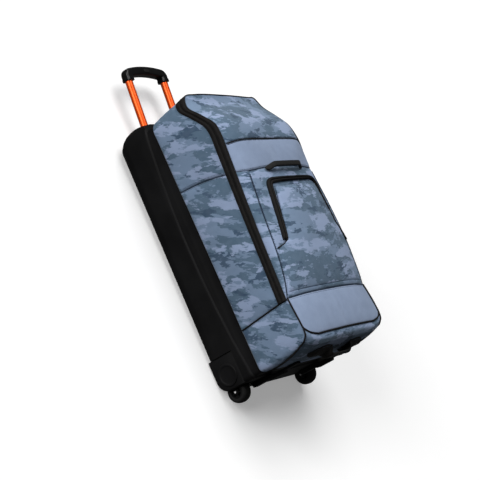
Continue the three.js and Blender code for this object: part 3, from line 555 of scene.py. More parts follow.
def cloth_grid(name):
    piece, rows, columns = CLOTHS[name][:3]
    return places(piece.data).reshape(rows, columns, 3) / MM


def border_numbers(rows, columns):
    numbers = np.arange(rows * columns).reshape(rows, columns)
    edges = (numbers[0], numbers[-1], numbers[:, 0], numbers[:, -1])
    return np.unique(np.concatenate(edges)).tolist()


def stuff():
    """Cloth simulation: panels held at their seams and pressed from inside; the result stays in the mesh."""
    scene = bpy.context.scene
    filled = [entry for entry in CLOTHS.values() if entry[3] > 0]
    for piece, rows, columns, _, _ in filled:
        piece.vertex_groups.new(name="held").add(border_numbers(rows, columns), 1.0, "REPLACE")
        cloth = piece.modifiers.new("stuffing", "CLOTH")
        cloth.point_cache.frame_start = 1
        cloth.point_cache.frame_end = STUFF_FRAMES
        settings = cloth.settings
        settings.mass = STUFF_MASS
        settings.vertex_group_mass = "held"
        settings.use_pressure = True
        settings.uniform_pressure_force = STUFF_PRESSURE
        settings.shrink_min = -STUFF_SLACK
        settings.effector_weights.gravity = 0
    for number in range(1, STUFF_FRAMES + 1):
        scene.frame_set(number)
    graph = bpy.context.evaluated_depsgraph_get()
    moves = [places(entry[0].evaluated_get(graph).data) - places(entry[0].data) for entry in filled]
    for (piece, _, _, cap, _), move in zip(filled, moves):
        furthest = np.linalg.norm(move, axis=1).max()
        share = min(1, cap * MM / max(furthest, 1e-9))
        piece.modifiers.clear()
        piece.vertex_groups.clear()
        move_to(piece.data, places(piece.data) + move * share)
    scene.frame_set(1)


def thicken():
    """Every cloth gets its thickness; its cut size is worked out but not used."""
    for name, (piece, _, _, _, sewn_to) in CLOTHS.items():
        grid = cloth_grid(name)
        wall = piece.modifiers.new("thickness", "SOLIDIFY")
        wall.thickness = CLOTH * MM
        wall.offset = -1
        width = spacing(grid, 1).sum(1).max()
        length = spacing(grid).sum(0).max()
        du, dv = np.diff(grid, axis=1)[:-1], np.diff(grid, axis=0)[:, :-1]
        area = np.linalg.norm(np.cross(du, dv), axis=-1).sum()
        area = min(area, width * length)


def frames_along(points, upward):
    """Directions along, across and up at each point of a path; upward is one direction or one a point."""
    along = unit(np.gradient(points, axis=0))
    side = unit(np.cross(along, upward))
    return along, side, np.cross(side, along)


def sweep(name, points, upward, section, material):
    """Closed bar: a section of (across, up) points carried along a path, or one section for each point."""
    _, side, lift = frames_along(points, upward)
    section = np.asarray(section, float)
    if section.ndim == 2:
        section = np.repeat(section[None], len(points), axis=0)
    grid = points[:, None] + side[:, None] * section[..., :1] + lift[:, None] * section[..., 1:]
    rows, columns = grid.shape[:2]
    faces = grid_faces(rows, columns, wrap=True)
    faces.append(tuple(range(columns))[::-1])
    faces.append(tuple((rows - 1) * columns + i for i in range(columns)))
    return solid(name, grid.reshape(-1, 3), faces, material)


def solid(name, vertices, faces, material):
    """Closed object with its faces turned outwards."""
    piece = new_object(name, vertices, faces, material)
    form = bmesh.new()
    form.from_mesh(piece.data)
    bmesh.ops.recalc_face_normals(form, faces=form.faces)
    form.to_mesh(piece.data)
    form.free()
    return piece


def sharp_edges(mesh, degrees=SHARP_DEGREES):
    mesh.polygons.foreach_set("use_smooth", [True] * len(mesh.polygons))
    mesh.set_sharp_from_angle(angle=math.radians(degrees))


def rounded(piece, width):
    """Small rounds on the sharp edges."""
    sharp_edges(piece.data)
    bevel = piece.modifiers.new("rounds", "BEVEL")
    bevel.width = width * MM
    bevel.segments = 2
    bevel.limit_method = "ANGLE"
    bevel.angle_limit = math.radians(SHARP_DEGREES)
    bevel.harden_normals = True


def round_section(width, height, corner, steps=4):
    """Rounded rectangle as (across, up) points."""
    points = []
    for cx, cy, start in ((1, 1, 0), (-1, 1, 90), (-1, -1, 180), (1, -1, 270)):
        for i in range(steps + 1):
            angle = math.radians(start + 90 * i / steps)
            x = cx * (width / 2 - corner) + corner * math.cos(angle)
            y = cy * (height / 2 - corner) + corner * math.sin(angle)
            points.append((x, y))
    return np.array(points)


def circle_section(radius, count):
    angle = np.linspace(0, 2 * np.pi, count, endpoint=False)
    return np.column_stack([radius * np.cos(angle), radius * np.sin(angle)])


def evenly(curve, step):
    """Points at an even step along a curve."""
    fine = curve(shares(600))
    return respaced(fine, max(3, round(spacing(fine).sum() / step)) + 1)


def trim(name, node, points, upward, section, material):
    """Bar that belongs to the bag's black trim."""
    settle(sweep(name, points, upward, section, material), node)


def piping(name, node, curve, radius, lift, material):
    points = evenly(curve, PIPING_STEP)
    points = points + outward(points) * lift
    trim(name, node, points, outward(points), circle_section(radius, 10), material)


BLOCK_FACES = [(0, 1, 2, 3), (4, 7, 6, 5), (0, 4, 5, 1), (1, 5, 6, 2), (2, 6, 7, 3), (3, 7, 4, 0)]


def repeated(name, points, upward, pitch, form, material, node=None, zigzag=False):
    """Small blocks at an even pitch along a path, such as zip teeth or stitches."""
    along, side, lift = frames_along(points, upward)
    run = run_along(points)
    stops = np.arange(pitch, run[-1] - pitch / 2, pitch)
    p, a, s, u = (at_stops(block, run, stops)[:, None] for block in (points, along, side, lift))
    hand = np.where(np.arange(len(stops)) % 2, 1, -1)[:, None, None] if zigzag else 1
    form = np.asarray(form, float)
    vertices = p + a * form[:, :1] + s * form[:, 1:2] * hand + u * form[:, 2:]
    faces = [tuple(8 * k + i for i in face) for k in range(len(stops)) for face in BLOCK_FACES]
    settle(solid(name, vertices.reshape(-1, 3), faces, material), node)


def turned(profile, centre, segments=64):
    """Points and faces of a ring about an axis along y, from a closed profile of (radius, y)."""
    radius, y = np.asarray(profile, float).T
    angle = np.linspace(0, 2 * np.pi, segments, endpoint=False)
    x = np.outer(np.cos(angle), radius)
    z = np.outer(np.sin(angle), radius)
    points = np.stack([x, np.broadcast_to(y, x.shape), z], axis=-1).reshape(-1, 3)
    return points + np.asarray(centre), grid_faces(*x.shape, wrap=True, ring_of_rows=True)


# Materials

class Nodes:
    """Short way to make a node material."""

    def __init__(self, name):
        self.material = bpy.data.materials.new(name)
        self.material.use_nodes = True
        self.tree = self.material.node_tree
        self.shader = self.tree.nodes["Principled BSDF"]
        self.place = self.add("ShaderNodeTexCoord", {}).outputs["Object"]

    def put(self, socket, value):
        """Give a socket a value, or link another node's output to it."""
        if isinstance(value, (int, float, tuple)):
            socket.default_value = value
        else:
            self.tree.links.new(value, socket)

    def add(self, kind, inputs, **settings):
        node = self.tree.nodes.new(kind)
        for key, value in settings.items():
            setattr(node, key, value)
        for key, value in inputs.items():
            self.put(node.inputs[key], value)
        return node

    def set(self, **values):
        for key, value in values.items():
            self.put(self.shader.inputs[key.replace("_", " ")], value)

    def mapped(self, scale=(1, 1, 1), turn=(0, 0, 0), shift=(0, 0, 0), source=None):
        inputs = {"Scale": scale, "Rotation": turn, "Location": shift, "Vector": source or self.place}
        return self.add("ShaderNodeMapping", inputs).outputs["Vector"]

    def noise(self, vector, scale, detail=4, roughness=0.55, distortion=0.0):
        inputs = {"Scale": scale, "Detail": detail, "Roughness": roughness, "Distortion": distortion}
        return self.add("ShaderNodeTexNoise", {"Vector": vector, **inputs}).outputs["Fac"]

    def wave(self, scale, direction):
        inputs = {"Vector": self.place, "Scale": scale}
        node = self.add("ShaderNodeTexWave", inputs, wave_type="BANDS", bands_direction=direction)
        return node.outputs["Fac"]

    def between(self, value, low_edge, high_edge, out=(0, 1)):
        inputs = {"From Min": low_edge, "From Max": high_edge, "To Min": out[0], "To Max": out[1]}
        node = self.add("ShaderNodeMapRange", {"Value": value, **inputs}, interpolation_type="SMOOTHSTEP")
        return node.outputs["Result"]

    def math(self, operation, a, b):
        return self.add("ShaderNodeMath", {0: a, 1: b}, operation=operation).outputs["Value"]

    def mix(self, factor, a, b):
        return self.add("ShaderNodeMix", {0: factor, 6: a, 7: b}, data_type="RGBA").outputs[2]

    def bump(self, height, strength, distance):
        inputs = {"Height": height, "Strength": strength, "Distance": distance}
        self.set(Normal=self.add("ShaderNodeBump", inputs).outputs["Normal"])


def srgb(code):
    """Linear colour from a six-digit screen colour."""
    parts = [int(code[i:i + 2], 16) / 255 for i in (0, 2, 4)]
    linear = [c / 12.92 if c <= 0.04045 else ((c + 0.055) / 1.055) ** 2.4 for c in parts]
    return (*linear, 1)


def weave_height(n, pitch):
    """Plain weave: threads along all three axes, so that every panel shows two of them."""
    scale = 1 / pitch / 2
    total = n.wave(scale, "X")
    total = n.math("ADD", total, n.wave(scale, "Y"))
    return n.math("ADD", total, n.wave(scale, "Z"))


CAMO_LIGHT = srgb("8B9CBA")
CAMO_MID = srgb("6F849E")
CAMO_DARK = srgb("50677C")
CAMO_DEEP = srgb("3A5067")
STREAK_TURN = -0.467
# Layers of blotches on the middle tone: shift, scale, stretch, roughness, where it starts and is full, colour
BLOTCHES = (
    ((3.1, 1.7, 0.6), 9.5, 2.6, 0.54, 0.47, 0.505, CAMO_DARK),
    ((7.7, 4.1, 2.2), 13.5, 2.6, 0.56, 0.575, 0.61, CAMO_DEEP),
    ((0, 0, 0), 10.5, 2.4, 0.54, 0.54, 0.57, CAMO_LIGHT),
    ((1.3, 9.4, 5.8), 24, 2.4, 0.56, 0.60, 0.63, CAMO_MID),
)
BLOTCH_DISTORTION = 0.3
# Thread pitches in metres
CAMO_WEAVE = 0.0011
PLAIN_WEAVE = 0.0008
BLACK_WEAVE = 0.0009
WEBBING_RIB = 0.0016


def camo_material():
    """Ragged blotches in four tones, drawn out across the front and up the sides."""
    n = Nodes("camo_cloth")
    leaning = n.mapped(turn=(0, STREAK_TURN, 0))
    streaks = n.noise(n.mapped((5, 1, 1), source=leaning), 55, 5, 0.6)
    ragged = n.between(streaks, 0.2, 0.8, (-0.045, 0.045))
    color = CAMO_MID
    for shift, scale, stretch, rough, starts, full, tint in BLOTCHES:
        vector = n.mapped((stretch, 1, 1), shift=shift, source=leaning)
        blotch = n.math("ADD", n.noise(vector, scale, 8, rough, BLOTCH_DISTORTION), ragged)
        color = n.mix(n.between(blotch, starts, full), color, tint)
    tone = n.noise(n.mapped(), 60, 3)
    color = n.mix(n.between(tone, 0.3, 0.7, (0, 0.06)), color, srgb("9FAAC0"))
    rough = n.between(tone, 0.2, 0.8, (0.78, 0.92))
    n.set(Base_Color=color, Roughness=rough)
    n.set(Sheen_Weight=0.12, Sheen_Roughness=0.5, Specular_IOR_Level=0.25)
    n.bump(weave_height(n, CAMO_WEAVE), 0.22, 0.0004)
    return n.material


def plain_material():
    n = Nodes("plain_cloth")
    tone = n.noise(n.mapped(), 26, 5, 0.6)
    fine = n.noise(n.mapped(), 900, 2)
    color = n.mix(n.between(tone, 0.3, 0.7), srgb("8090AB"), srgb("8797B2"))
    color = n.mix(n.between(fine, 0.35, 0.65, (0, 0.2)), color, srgb("6F7F99"))
    rough = n.between(tone, 0.2, 0.8, (0.72, 0.88))
    n.set(Base_Color=color, Roughness=rough)
    n.set(Sheen_Weight=0.12, Sheen_Roughness=0.5, Specular_IOR_Level=0.3)
    n.bump(weave_height(n, PLAIN_WEAVE), 0.16, 0.0003)
    return n.material


def toned(name, tone, colors, rough, relief, bump, stretch=(1, 1, 1), specular=0.5, metal=0.0):
    """Two close colours and a roughness that follow one noise, over a fine relief."""
    n = Nodes(name)
    shade = n.noise(n.mapped(stretch), *tone)
    color = n.mix(n.between(shade, 0.3, 0.7), srgb(colors[0]), srgb(colors[1]))
    n.set(Base_Color=color, Roughness=n.between(shade, 0.2, 0.8, rough))
    n.set(Specular_IOR_Level=specular, Metallic=metal)
    n.bump(relief(n, shade), *bump)
    return n.material


# Reliefs for toned materials

def own_tone(_, shade):
    return shade


def woven(n, _):
    return weave_height(n, BLACK_WEAVE)


def ribbed(n, _):
    return n.wave(1 / WEBBING_RIB / 2, "Y")


def stippled(scale):
    return lambda n, _: n.noise(n.mapped(), scale, 3, 0.6)


def axle_material():
    """Dark pin with a near-white disc at its centre."""
    n = Nodes("axle")
    parts = n.add("ShaderNodeSeparateXYZ", {"Vector": n.place}).outputs
    squares = []
    for axis, middle in (("X", WHEEL.x), ("Z", WHEEL.z)):
        away = n.math("SUBTRACT", parts[axis], middle * MM)
        squares.append(n.math("MULTIPLY", away, away))
    radius = n.math("SQRT", n.math("ADD", *squares), 0)
    color = n.mix(n.between(radius, 0.0026, 0.0032), srgb("F2F2F2"), srgb("101010"))
    rough = n.between(n.noise(n.mapped(), 300, 3), 0.2, 0.8, (0.3, 0.5))
    n.set(Base_Color=color, Roughness=rough, Specular_IOR_Level=0.3)
    return n.material


CAMO = camo_material()
PLAIN = plain_material()
AXLE = axle_material()
BLACK = toned(
    "black_cloth", (55, 4), ("0C0B0B", "191716"), (0.6, 0.8), woven, (0.3, 0.0004), specular=0.2,
)
# Dark blue-grey thread for the stitches; on the thin cords along the seams the same colour is painted shade
# of the seam folds
THREAD_AND_SEAM_SHADE = toned(
    "thread_and_seam_shade", (900, 2), ("1B2736", "27364A"), (0.7, 0.9), own_tone, (0.3, 0.0003), specular=0.2,
)
WEBBING = toned(
    "black_webbing", (80, 4), ("0A0A0A", "151413"), (0.55, 0.75), ribbed, (0.4, 0.0005), specular=0.3,
)
MOULDED = toned(
    "moulded_plastic", (9, 5, 0.6), ("0A0A0B", "111112"), (0.52, 0.66), stippled(700), (0.25, 0.0004),
    specular=0.12,
)
GRIP_FINISH = toned(
    "grip_plastic", (14, 5, 0.6), ("060607", "0B0B0C"), (0.26, 0.36), stippled(500), (0.12, 0.0003),
    specular=0.3,
)
RUBBER = toned(
    "rubber", (35, 4), ("0A0A0A", "131313"), (0.6, 0.8), stippled(420), (0.2, 0.0003), specular=0.25,
)
ORANGE = toned(
    "orange_tube", (12, 4, 0.6), ("F4500C", "FF6416"), (0.26, 0.36), own_tone, (0.05, 0.0002),
    stretch=(1, 60, 60), metal=0.55,
)
STEEL = toned(
    "steel", (30, 4, 0.6), ("B8BABC", "DADBDC"), (0.22, 0.36), own_tone, (0.05, 0.0002),
    stretch=(4, 40, 40), metal=1.0,
)
FINISH = {
    "camo_cloth": CAMO, "plain_cloth": PLAIN, "black_cloth": BLACK, "moulded_plastic": MOULDED,
    "rubber": RUBBER, "orange_tube": ORANGE, "steel": STEEL,
}


# Hard pieces

def refined(name, width, material=None):
    """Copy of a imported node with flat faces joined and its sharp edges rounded."""
    node = NODES[name]
    form = bmesh.new()
    form.from_mesh(node.data)
    bmesh.ops.remove_doubles(form, verts=form.verts, dist=1e-5)
    bmesh.ops.dissolve_limit(form, angle_limit=math.radians(1), verts=form.verts, edges=form.edges)
    mesh = bpy.data.meshes.new("hard_" + name)
    form.to_mesh(mesh)
    form.free()
    mesh.transform(node.matrix_world)
    mesh.materials.clear()
    mesh.materials.append(material or FINISH[SLOT_OF[name]])
    piece = placed("hard_" + name, mesh)
    rounded(piece, width)
    return settle(piece, name, BODY_OF[name])


def curved_end(tray):
    """Bow the tray's wall out at the handle's end."""
    w = END_WALL
    form = bmesh.new()
    form.from_mesh(tray.data)
    for z in np.linspace(w.low, w.high, w.cuts):
        whole = form.verts[:] + form.edges[:] + form.faces[:]
        bmesh.ops.bisect_plane(form, geom=whole, plane_co=(0, 0, z * MM), plane_no=(0, 0, 1))
    form.to_mesh(tray.data)
    form.free()
    points = places(tray.data) / MM
    share = eased((w.x + w.depth - points[:, 0]) / w.depth)
    height = np.clip((points[:, 2] - w.low) / (w.high - w.low), 0, 1)
    points[:, 0] -= w.bulge * share * np.sin(np.pi * height)
    move_to(tray.data, points * MM)


def hard_pieces():
    for name, node in NODES.items():
        node.data.materials.clear()
        node.data.materials.append(FINISH[SLOT_OF[name]])
    bpy.context.view_layer.update()
    curved_end(refined("chassis_tray", TRAY_ROUND))
    refined("release_button", BUTTON_ROUND)
    for side in ("near", "far"):
        for kind, width in SIDE_ROUNDS.items():
            refined(f"{side}_{kind}", width)
        refined(side + "_axle", AXLE_ROUND, AXLE)
        wheel(side, -1 if side == "near" else 1)


def wheel(prefix, side):
    centre = (WHEEL.x, side * WHEEL.y, WHEEL.z)
    body = BODY_OF[prefix + "_tyre"]
    tread = TYRE + [(radius, -y) for radius, y in TYRE[-2::-1]]
    tyre = solid(prefix + "_wheel_tyre", *turned(tread, centre), RUBBER)
    sharp_edges(tyre.data, 50)
    settle(tyre, prefix + "_tyre", body)
    outline = HUB + [(radius, -y) for radius, y in HUB[-2:0:-1]]
    points, faces = turned(outline, centre, 48)
    points, faces = list(points), list(faces)
    for face_side in (-1, 1):
        for k in range(SPOKES):
            turn = 2 * math.pi * k / SPOKES
            out = np.array([math.cos(turn), 0, math.sin(turn)])
            beside = np.array([-math.sin(turn), 0, math.cos(turn)])
            base = len(points)
            for y in SPOKE_FACES:
                for radius, shift in SPOKE_OUTLINE:
                    points.append(np.asarray(centre) + out * radius + beside * shift + [0, face_side * y, 0])
            faces += [tuple(base + i for i in face) for face in BLOCK_FACES]
    hub = solid(prefix + "_wheel_hub", points, faces, MOULDED)
    sharp_edges(hub.data)
    settle(hub, prefix + "_hub", body)


def leaned(u, y, w):
    """Row-frame points from places along the handle, across it and up from its middle plane."""
    u, y, w = np.broadcast_arrays(np.asarray(u, float), np.asarray(y, float), np.asarray(w, float))
    x = HANDLE_FOOT[0] + u * math.cos(HANDLE_LEAN) + w * math.sin(HANDLE_LEAN)
    z = HANDLE_FOOT[1] - u * math.sin(HANDLE_LEAN) + w * math.cos(HANDLE_LEAN)
    return np.stack([x, y, z], axis=-1)


def cut(piece, cutter):
    """Take the cutter's shape out of a piece."""
    hole = piece.modifiers.new("hole", "BOOLEAN")
    hole.object = cutter
    hole.operation = "DIFFERENCE"
    hole.solver = "EXACT"
    graph = bpy.context.evaluated_depsgraph_get()
    mesh = bpy.data.meshes.new_from_object(piece.evaluated_get(graph))
    piece.modifiers.clear()
    piece.data = mesh
    bpy.data.objects.remove(cutter)


def handle_grip():
    """Arched bar with two legs that hold the tubes, and a sunk slot for the button."""
    g = GRIP
    inner = g.leg_y - g.corner

    def bar(y):
        return g.bar + g.arch * (y / g.arch_at) ** 2

    corner_u = bar(inner) + g.corner
    leg = np.linspace(g.foot, corner_u, 8)[:-1]
    angle = np.linspace(0, np.pi / 2, 10)
    bend_u = corner_u - g.corner * np.sin(angle)
    bend_y = -inner - g.corner * np.cos(angle)
    half = np.concatenate([
        np.column_stack([leg, np.full_like(leg, -g.leg_y)]), np.column_stack([bend_u, bend_y]),
    ])
    middle_y = np.linspace(-inner, inner, 30)[1:-1]
    middle = np.column_stack([bar(middle_y), middle_y])
    path = np.concatenate([half, middle, half[::-1] * [1, -1]])
    points = leaned(path[:, 0], path[:, 1], 0)
    run = run_along(points)
    foot = np.minimum(run, run[-1] - run)
    wide = 1 + g.foot_fuller * (1 - eased((foot - g.foot_length) / 3))
    plain = round_section(g.width, g.depth, g.edge, 5)
    lift = leaned(0, 0, 1) - leaned(0, 0, 0)
    grip = sweep("handle_grip", points, lift, plain[None] * wide[:, None, None], GRIP_FINISH)
    b = BUTTON
    y = np.linspace(-b.length / 2 + 0.1, b.length / 2 - 0.1, 24)
    reach = b.width / 2
    ends = np.sqrt(np.clip(1 - np.clip((np.abs(y) - b.length / 2 + reach) / reach, 0, 1) ** 2, 0.02, 1))
    sections = np.stack([round_section(2 * reach * e, 2 * b.sink, 0.05 * reach) for e in ends])
    slot = sweep("slot", leaned(b.at, y, g.depth / 2), lift, sections, GRIP_FINISH)
    cut(grip, slot)
    sharp_edges(grip.data, 40)
    settle(grip, "grip", "handle")


# Cloth panels

def panel(
    name, edges, crown, seed, material=CAMO, slot="camo_cloth", cap=0.0, sewn_to="chassis_tray", **looks,
):
    """Cloth between four edges: low, high, start and end."""
    grid = swell(patch(*edges, *divisions(*edges)), crown)
    cloth_object(name, dressed(grid, seed, **looks), material, name, cap, sewn_to)


def body_panel(name, start, end, crown, seed):
    edges = (rim(start, end), low(start, end), body_seam(start), body_seam(end))
    panel(name, edges, crown, seed, cap=BODY_CAP)


def lower_side_edges():
    foot_point, low_point, up_point = (on_ring(edge, 0) for edge in (rim, low, up))
    left = chain(
        (straight(foot_point, low_point), END_SHARE - 2),
        (straight(low_point, up_point), 1),
        (straight(up_point, one(front_seam, 1)), 1),
    )
    corner = near(FOOT_CORNER)
    foot = chain((straight(foot_point, one(corner, 0)), EDGE_SHARE), (corner, BEND_SHARE))
    head = chain((lower_edge, EDGE_SHARE), (piped_front, BEND_SHARE))
    return foot, head, left, backwards(piped_end)


def bottom_edges():
    near_bend = (panel_corner, 2 * BEND_SHARE)
    far_bend = (backwards(flipped(panel_corner)), 2 * BEND_SHARE)
    front = chain(near_bend, (lower_low_seam, SEAM_ACROSS), far_bend)
    edge = chain((piped_front, BEND_SHARE), (piped_end, END_SHARE))
    foot = straight(one(piped_end, 1), mirrored(one(piped_end, 1)))
    return front, foot, edge, flipped(edge)


BOTTOM_EDGES = bottom_edges()
FRONT_EDGES = (upper_low_seam, lower_top_seam, front_seam, flipped(front_seam))
FRONT = Surface(swell(patch(*FRONT_EDGES, 60, 60), FRONT_CROWN), 2)
BOTTOM = Surface(swell(patch(*BOTTOM_EDGES, 60, 40), BOTTOM_CROWN), 0)


def body_cloth():
    body_panel("near_mid_side", 0, SIDE_SEAM, 6, 1)
    body_panel("near_upper_side", SIDE_SEAM, TOP_CORNER, 3, 2)
    body_panel("top_panel", TOP_CORNER, FAR - TOP_CORNER, 4, 3)
    body_panel("far_upper_side", FAR - TOP_CORNER, FAR - SIDE_SEAM, 3, 4)
    body_panel("far_mid_side", FAR - SIDE_SEAM, FAR, 6, 5)
    side = lower_side_edges()
    panel("near_lower_side", side, 3, 6, cap=BODY_CAP)
    panel("far_lower_side", [flipped(edge) for edge in side], 3, 7, cap=BODY_CAP)
    panel("bottom_panel", BOTTOM_EDGES, BOTTOM_CROWN, 8)


def sunk_under_pocket(grid):
    """The front panel lies back a little where the pocket covers it."""
    x, y = grid[..., 0], grid[..., 1]
    near_y, far_y = (np.interp(x, edge[:, 1], edge[:, 2]) for edge in POCKET_EDGES)
    top, foot = POCKET_EDGES[0, [0, -1], 1]
    depth = np.minimum.reduce([y - near_y, far_y - y, x - top, foot - x])
    grid[..., 2] -= POCKET_SINK * eased(depth / POCKET_SINK_REACH)
    return grid


def lid_cloth():
    end = up(LID_CORNER, FAR - LID_CORNER)
    top_edges = (end, lid_top_seam, up(LID_CORNER, UPPER_SEAM), up(FAR - LID_CORNER, FAR - UPPER_SEAM))
    panel("lid_top_panel", top_edges, 2.5, 9, cap=LID_CAP, sewn_to="near_zip_tape")
    to_seam = straight(on_ring(up, SIDE_SEAM), one(front_seam, 0))
    upper_low = chain((to_seam, 1), (upper_low_seam, FRONT_ACROSS), (backwards(flipped(to_seam)), 1))
    sides = (up(UPPER_SEAM, SIDE_SEAM), up(FAR - UPPER_SEAM, FAR - SIDE_SEAM))
    plain = {"material": PLAIN, "slot": "plain_cloth", "wrinkle": 0.7}
    upper = (lid_top_seam, upper_low, *sides)
    panel("upper_panel", upper, 1.5, 10, cap=LID_CAP, sewn_to="near_zip_tape", **plain)
    front = dressed(swell(patch(*FRONT_EDGES, *divisions(*FRONT_EDGES)), FRONT_CROWN), 11)
    cloth_object("front_panel", sunk_under_pocket(front), CAMO, "front_panel", sewn_to="near_gusset")
    closing = straight(on_ring(up, 0), one(front_seam, 1))
    gusset = (up(SIDE_SEAM, 0), front_seam, to_seam, closing)
    panel("near_gusset", gusset, 2, 12, sewn_to="near_zip_tape")
    panel("far_gusset", [flipped(edge) for edge in gusset], 2, 13, sewn_to="far_zip_tape")
    bend = part(panel_corner, 0, 0.5)
    foot = part(panel_corner, 0.5, 1)
    edge = chain((lower_edge, EDGE_SHARE), (bend, BEND_SHARE))
    last = (backwards(flipped(foot)), BEND_SHARE)
    low_edge = chain((foot, BEND_SHARE), (lower_low_seam, SEAM_ACROSS), last)
    lower = (lower_top_seam, low_edge, edge, flipped(edge))
    panel("lower_panel", lower, 3, 14, cap=2, sewn_to="bottom_panel", **plain)


# Zips

TOOTH = [
    (-1.1, -0.8, 0), (1.1, -0.8, 0), (1.1, 2.6, 0), (-1.1, 2.6, 0),
    (-0.8, -0.5, 1.5), (0.8, -0.5, 1.5), (0.8, 2.3, 1.1), (-0.8, 2.3, 1.1),
]


def zip_band(a, b, overhang, height, foot, close=0.0):
    """Two rolled lips with piped edges over a zip, from the band's two edges; columns run across."""
    lip = np.vstack([smooth(LIP)(shares(22)), [LIP_END, foot]])
    place, rise = np.vstack([lip[:0:-1] * [-1, 1], lip]).T
    middle, half = (a + b) / 2, (b - a) / 2
    reach = 1 + overhang / np.linalg.norm(half, axis=1)
    base = middle[:, None] + half[:, None] * reach[:, None, None] * place[None, :, None]
    run = run_along(middle)
    end = np.minimum(run, run[-1] - run)
    taper = eased(end / close)[:, None] if close else 1.0
    full = np.broadcast_to(height, len(middle))[:, None] * taper
    lift = rise[None, :] * np.where(rise[None, :] > 0, full, 1.0)
    return base + normals(base) * lift[..., None]


def main_zip():
    t = shares(ZIP_POINTS)
    stations = t * FAR
    a, b = low(0, FAR)(t), up(0, FAR)(t)
    lengths = (
        ("near_zip_tape", 0, TOP_CORNER), ("top_zip_tape", TOP_CORNER, FAR - TOP_CORNER),
        ("far_zip_tape", FAR - TOP_CORNER, FAR),
    )
    for name, start, end in lengths:
        inside = (stations >= start - ZIP_OVERLAP) & (stations <= end + ZIP_OVERLAP)
        from_top = np.abs(stations[inside] - LAST)
        height = ZIP_FLAT + (1 - ZIP_FLAT) * eased(from_top / ZIP_FLAT_STATIONS - 1)
        grid = zip_band(a[inside], b[inside], ZIP_OVERHANG, height, ZIP_TURN_IN)
        cloth_object(name, grid, BLACK, name)
    middle = (a + b) / 2
    lift = outward(middle)
    repeated("zip_teeth", middle + lift * 0.7, lift, TOOTH_PITCH, TOOTH, BLACK, "main_zip_coil", True)
    for name, station in SLIDERS.items():
        slider(name, middle, lift, station)


def slider(name, middle, lift, station):
    """Slider body on the zip with a bridge and a webbing pull."""
    k = int(station / FAR * (len(middle) - 1))
    along = unit(middle[k + 1] - middle[k - 1])
    half = SLIDER.half
    start = middle[k] + lift[k] * SLIDER.stand

    def bar(kind, node, shifts, rise, section, material):
        path = start + np.outer(shifts, along) + np.outer(rise, lift[k])
        trim(f"{name}_{kind}", node, path, lift[k], section, material)

    steps = np.linspace(-half, half, 9)
    width = SLIDER.width - SLIDER.taper * np.abs(steps / half) ** 3
    body = np.stack([round_section(w, SLIDER.height, 1.4) for w in width])
    bar("body", name, steps, np.zeros(9), body, BLACK)
    rise = 2.4 + SLIDER.bridge * np.sin(np.linspace(0, np.pi, 9))
    bar("bridge", None, steps * 0.75, rise, round_section(3.4, 1.6, 0.6), BLACK)
    steps = np.linspace(0, SLIDER.pull, 14)
    bar("pull", None, steps, 3.8 - 2.2 * eased(steps / 12), round_section(6, 2, 0.9), WEBBING)


# Things laid on the front

def pocket_outline():
    """Outline of the pocket's zip in x and y: near edge, top, far edge."""
    near_top, near_x, near_y = POCKET_NEAR
    far_top, far_x, far_y = POCKET_FAR
    top, rounding, flare = POCKET_TOP_X, POCKET_ROUND, 4

    def bend(a, b, c):
        t = shares(12)[:, None]
        return (1 - t) ** 2 * np.array(a) + 2 * t * (1 - t) * np.array(b) + t ** 2 * np.array(c)

    first = bend((top + rounding, -near_top - flare), (top, -near_top), (top, -near_top + rounding))
    second = bend((top, far_top - rounding), (top, far_top), (top + rounding, far_top + flare))
    return respaced(np.vstack([[(near_x, -near_y)], first, second, [(far_x, far_y)]]), OUTLINE_POINTS)


def front_pocket():
    v = shares(81)
    u = shares(81)
    near_points, far_points = (at_stops(edge[:, 1:], edge[:, 0], v) for edge in POCKET_EDGES)
    flat = near_points[:, None] * (1 - u[None, :, None]) + far_points[:, None] * u[None, :, None]
    across_rise = np.sqrt(np.sin(np.pi * u).clip(0))
    down_rise = np.sin(np.pi * np.sqrt(v)).clip(0) ** 0.6
    stand = POCKET_STAND - 2 * eased((v - 0.5) / 0.15)
    grid = FRONT.on(flat[..., 0], flat[..., 1])
    grid[..., 2] += stand[:, None] + POCKET_RISE * across_rise[None] * down_rise[:, None]
    cloth_object("pocket_panel", dressed(grid, 15), CAMO, "pocket_panel", cap=2.5, sewn_to="front_panel")
    outline = pocket_outline()
    last = int(POCKET_ZIP_END * (len(outline) - 1))
    path = outline[: last + 1]
    along = unit(np.gradient(path, axis=0))
    inward = np.column_stack([along[:, 1], -along[:, 0]])
    run = np.linspace(0, POCKET_ZIP_END, len(path))
    place, *depths = POCKET_BAND.T
    edges = [path + inward * np.interp(run, place, depth)[:, None] for depth in depths]
    a, b = (FRONT.on(edge[:, 0], edge[:, 1], POCKET_STAND) for edge in edges)
    band = zip_band(a, b, 0, 1.1, -3, 5)
    cloth_object("pocket_zip", band, BLACK, "pocket_zip", sewn_to="front_panel")
    middle = (a + b) / 2 + [0, 0, 0.9]
    repeated("pocket_zip_teeth", middle, UPRIGHT, POCKET_TOOTH_PITCH, TOOTH, BLACK, zigzag=True)
    edge = respaced(np.vstack([outline[last - 6], POCKET_EDGES[1, 1:4, 1:]]), 60)
    points = FRONT.on(edge[:, 0], edge[:, 1] + 1, POCKET_STAND)
    round_edge = circle_section(3.0, 10)
    trim("cord_pocket_piping", "pocket_piping", points, UPRIGHT, round_edge, BLACK)
    hook = smooth(POCKET_HOOK)(shares(24))
    points = FRONT.on(hook[:, 0], hook[:, 1], 2.6)
    trim("cord_pocket_hook", None, points, UPRIGHT, circle_section(1.7, 8), BLACK)


def arch(form, y):
    """How far a grab handle stands off at places across the bag."""
    lying = form.half - form.flat
    return form.rise * eased((lying - np.abs(y)) / (lying - form.span))


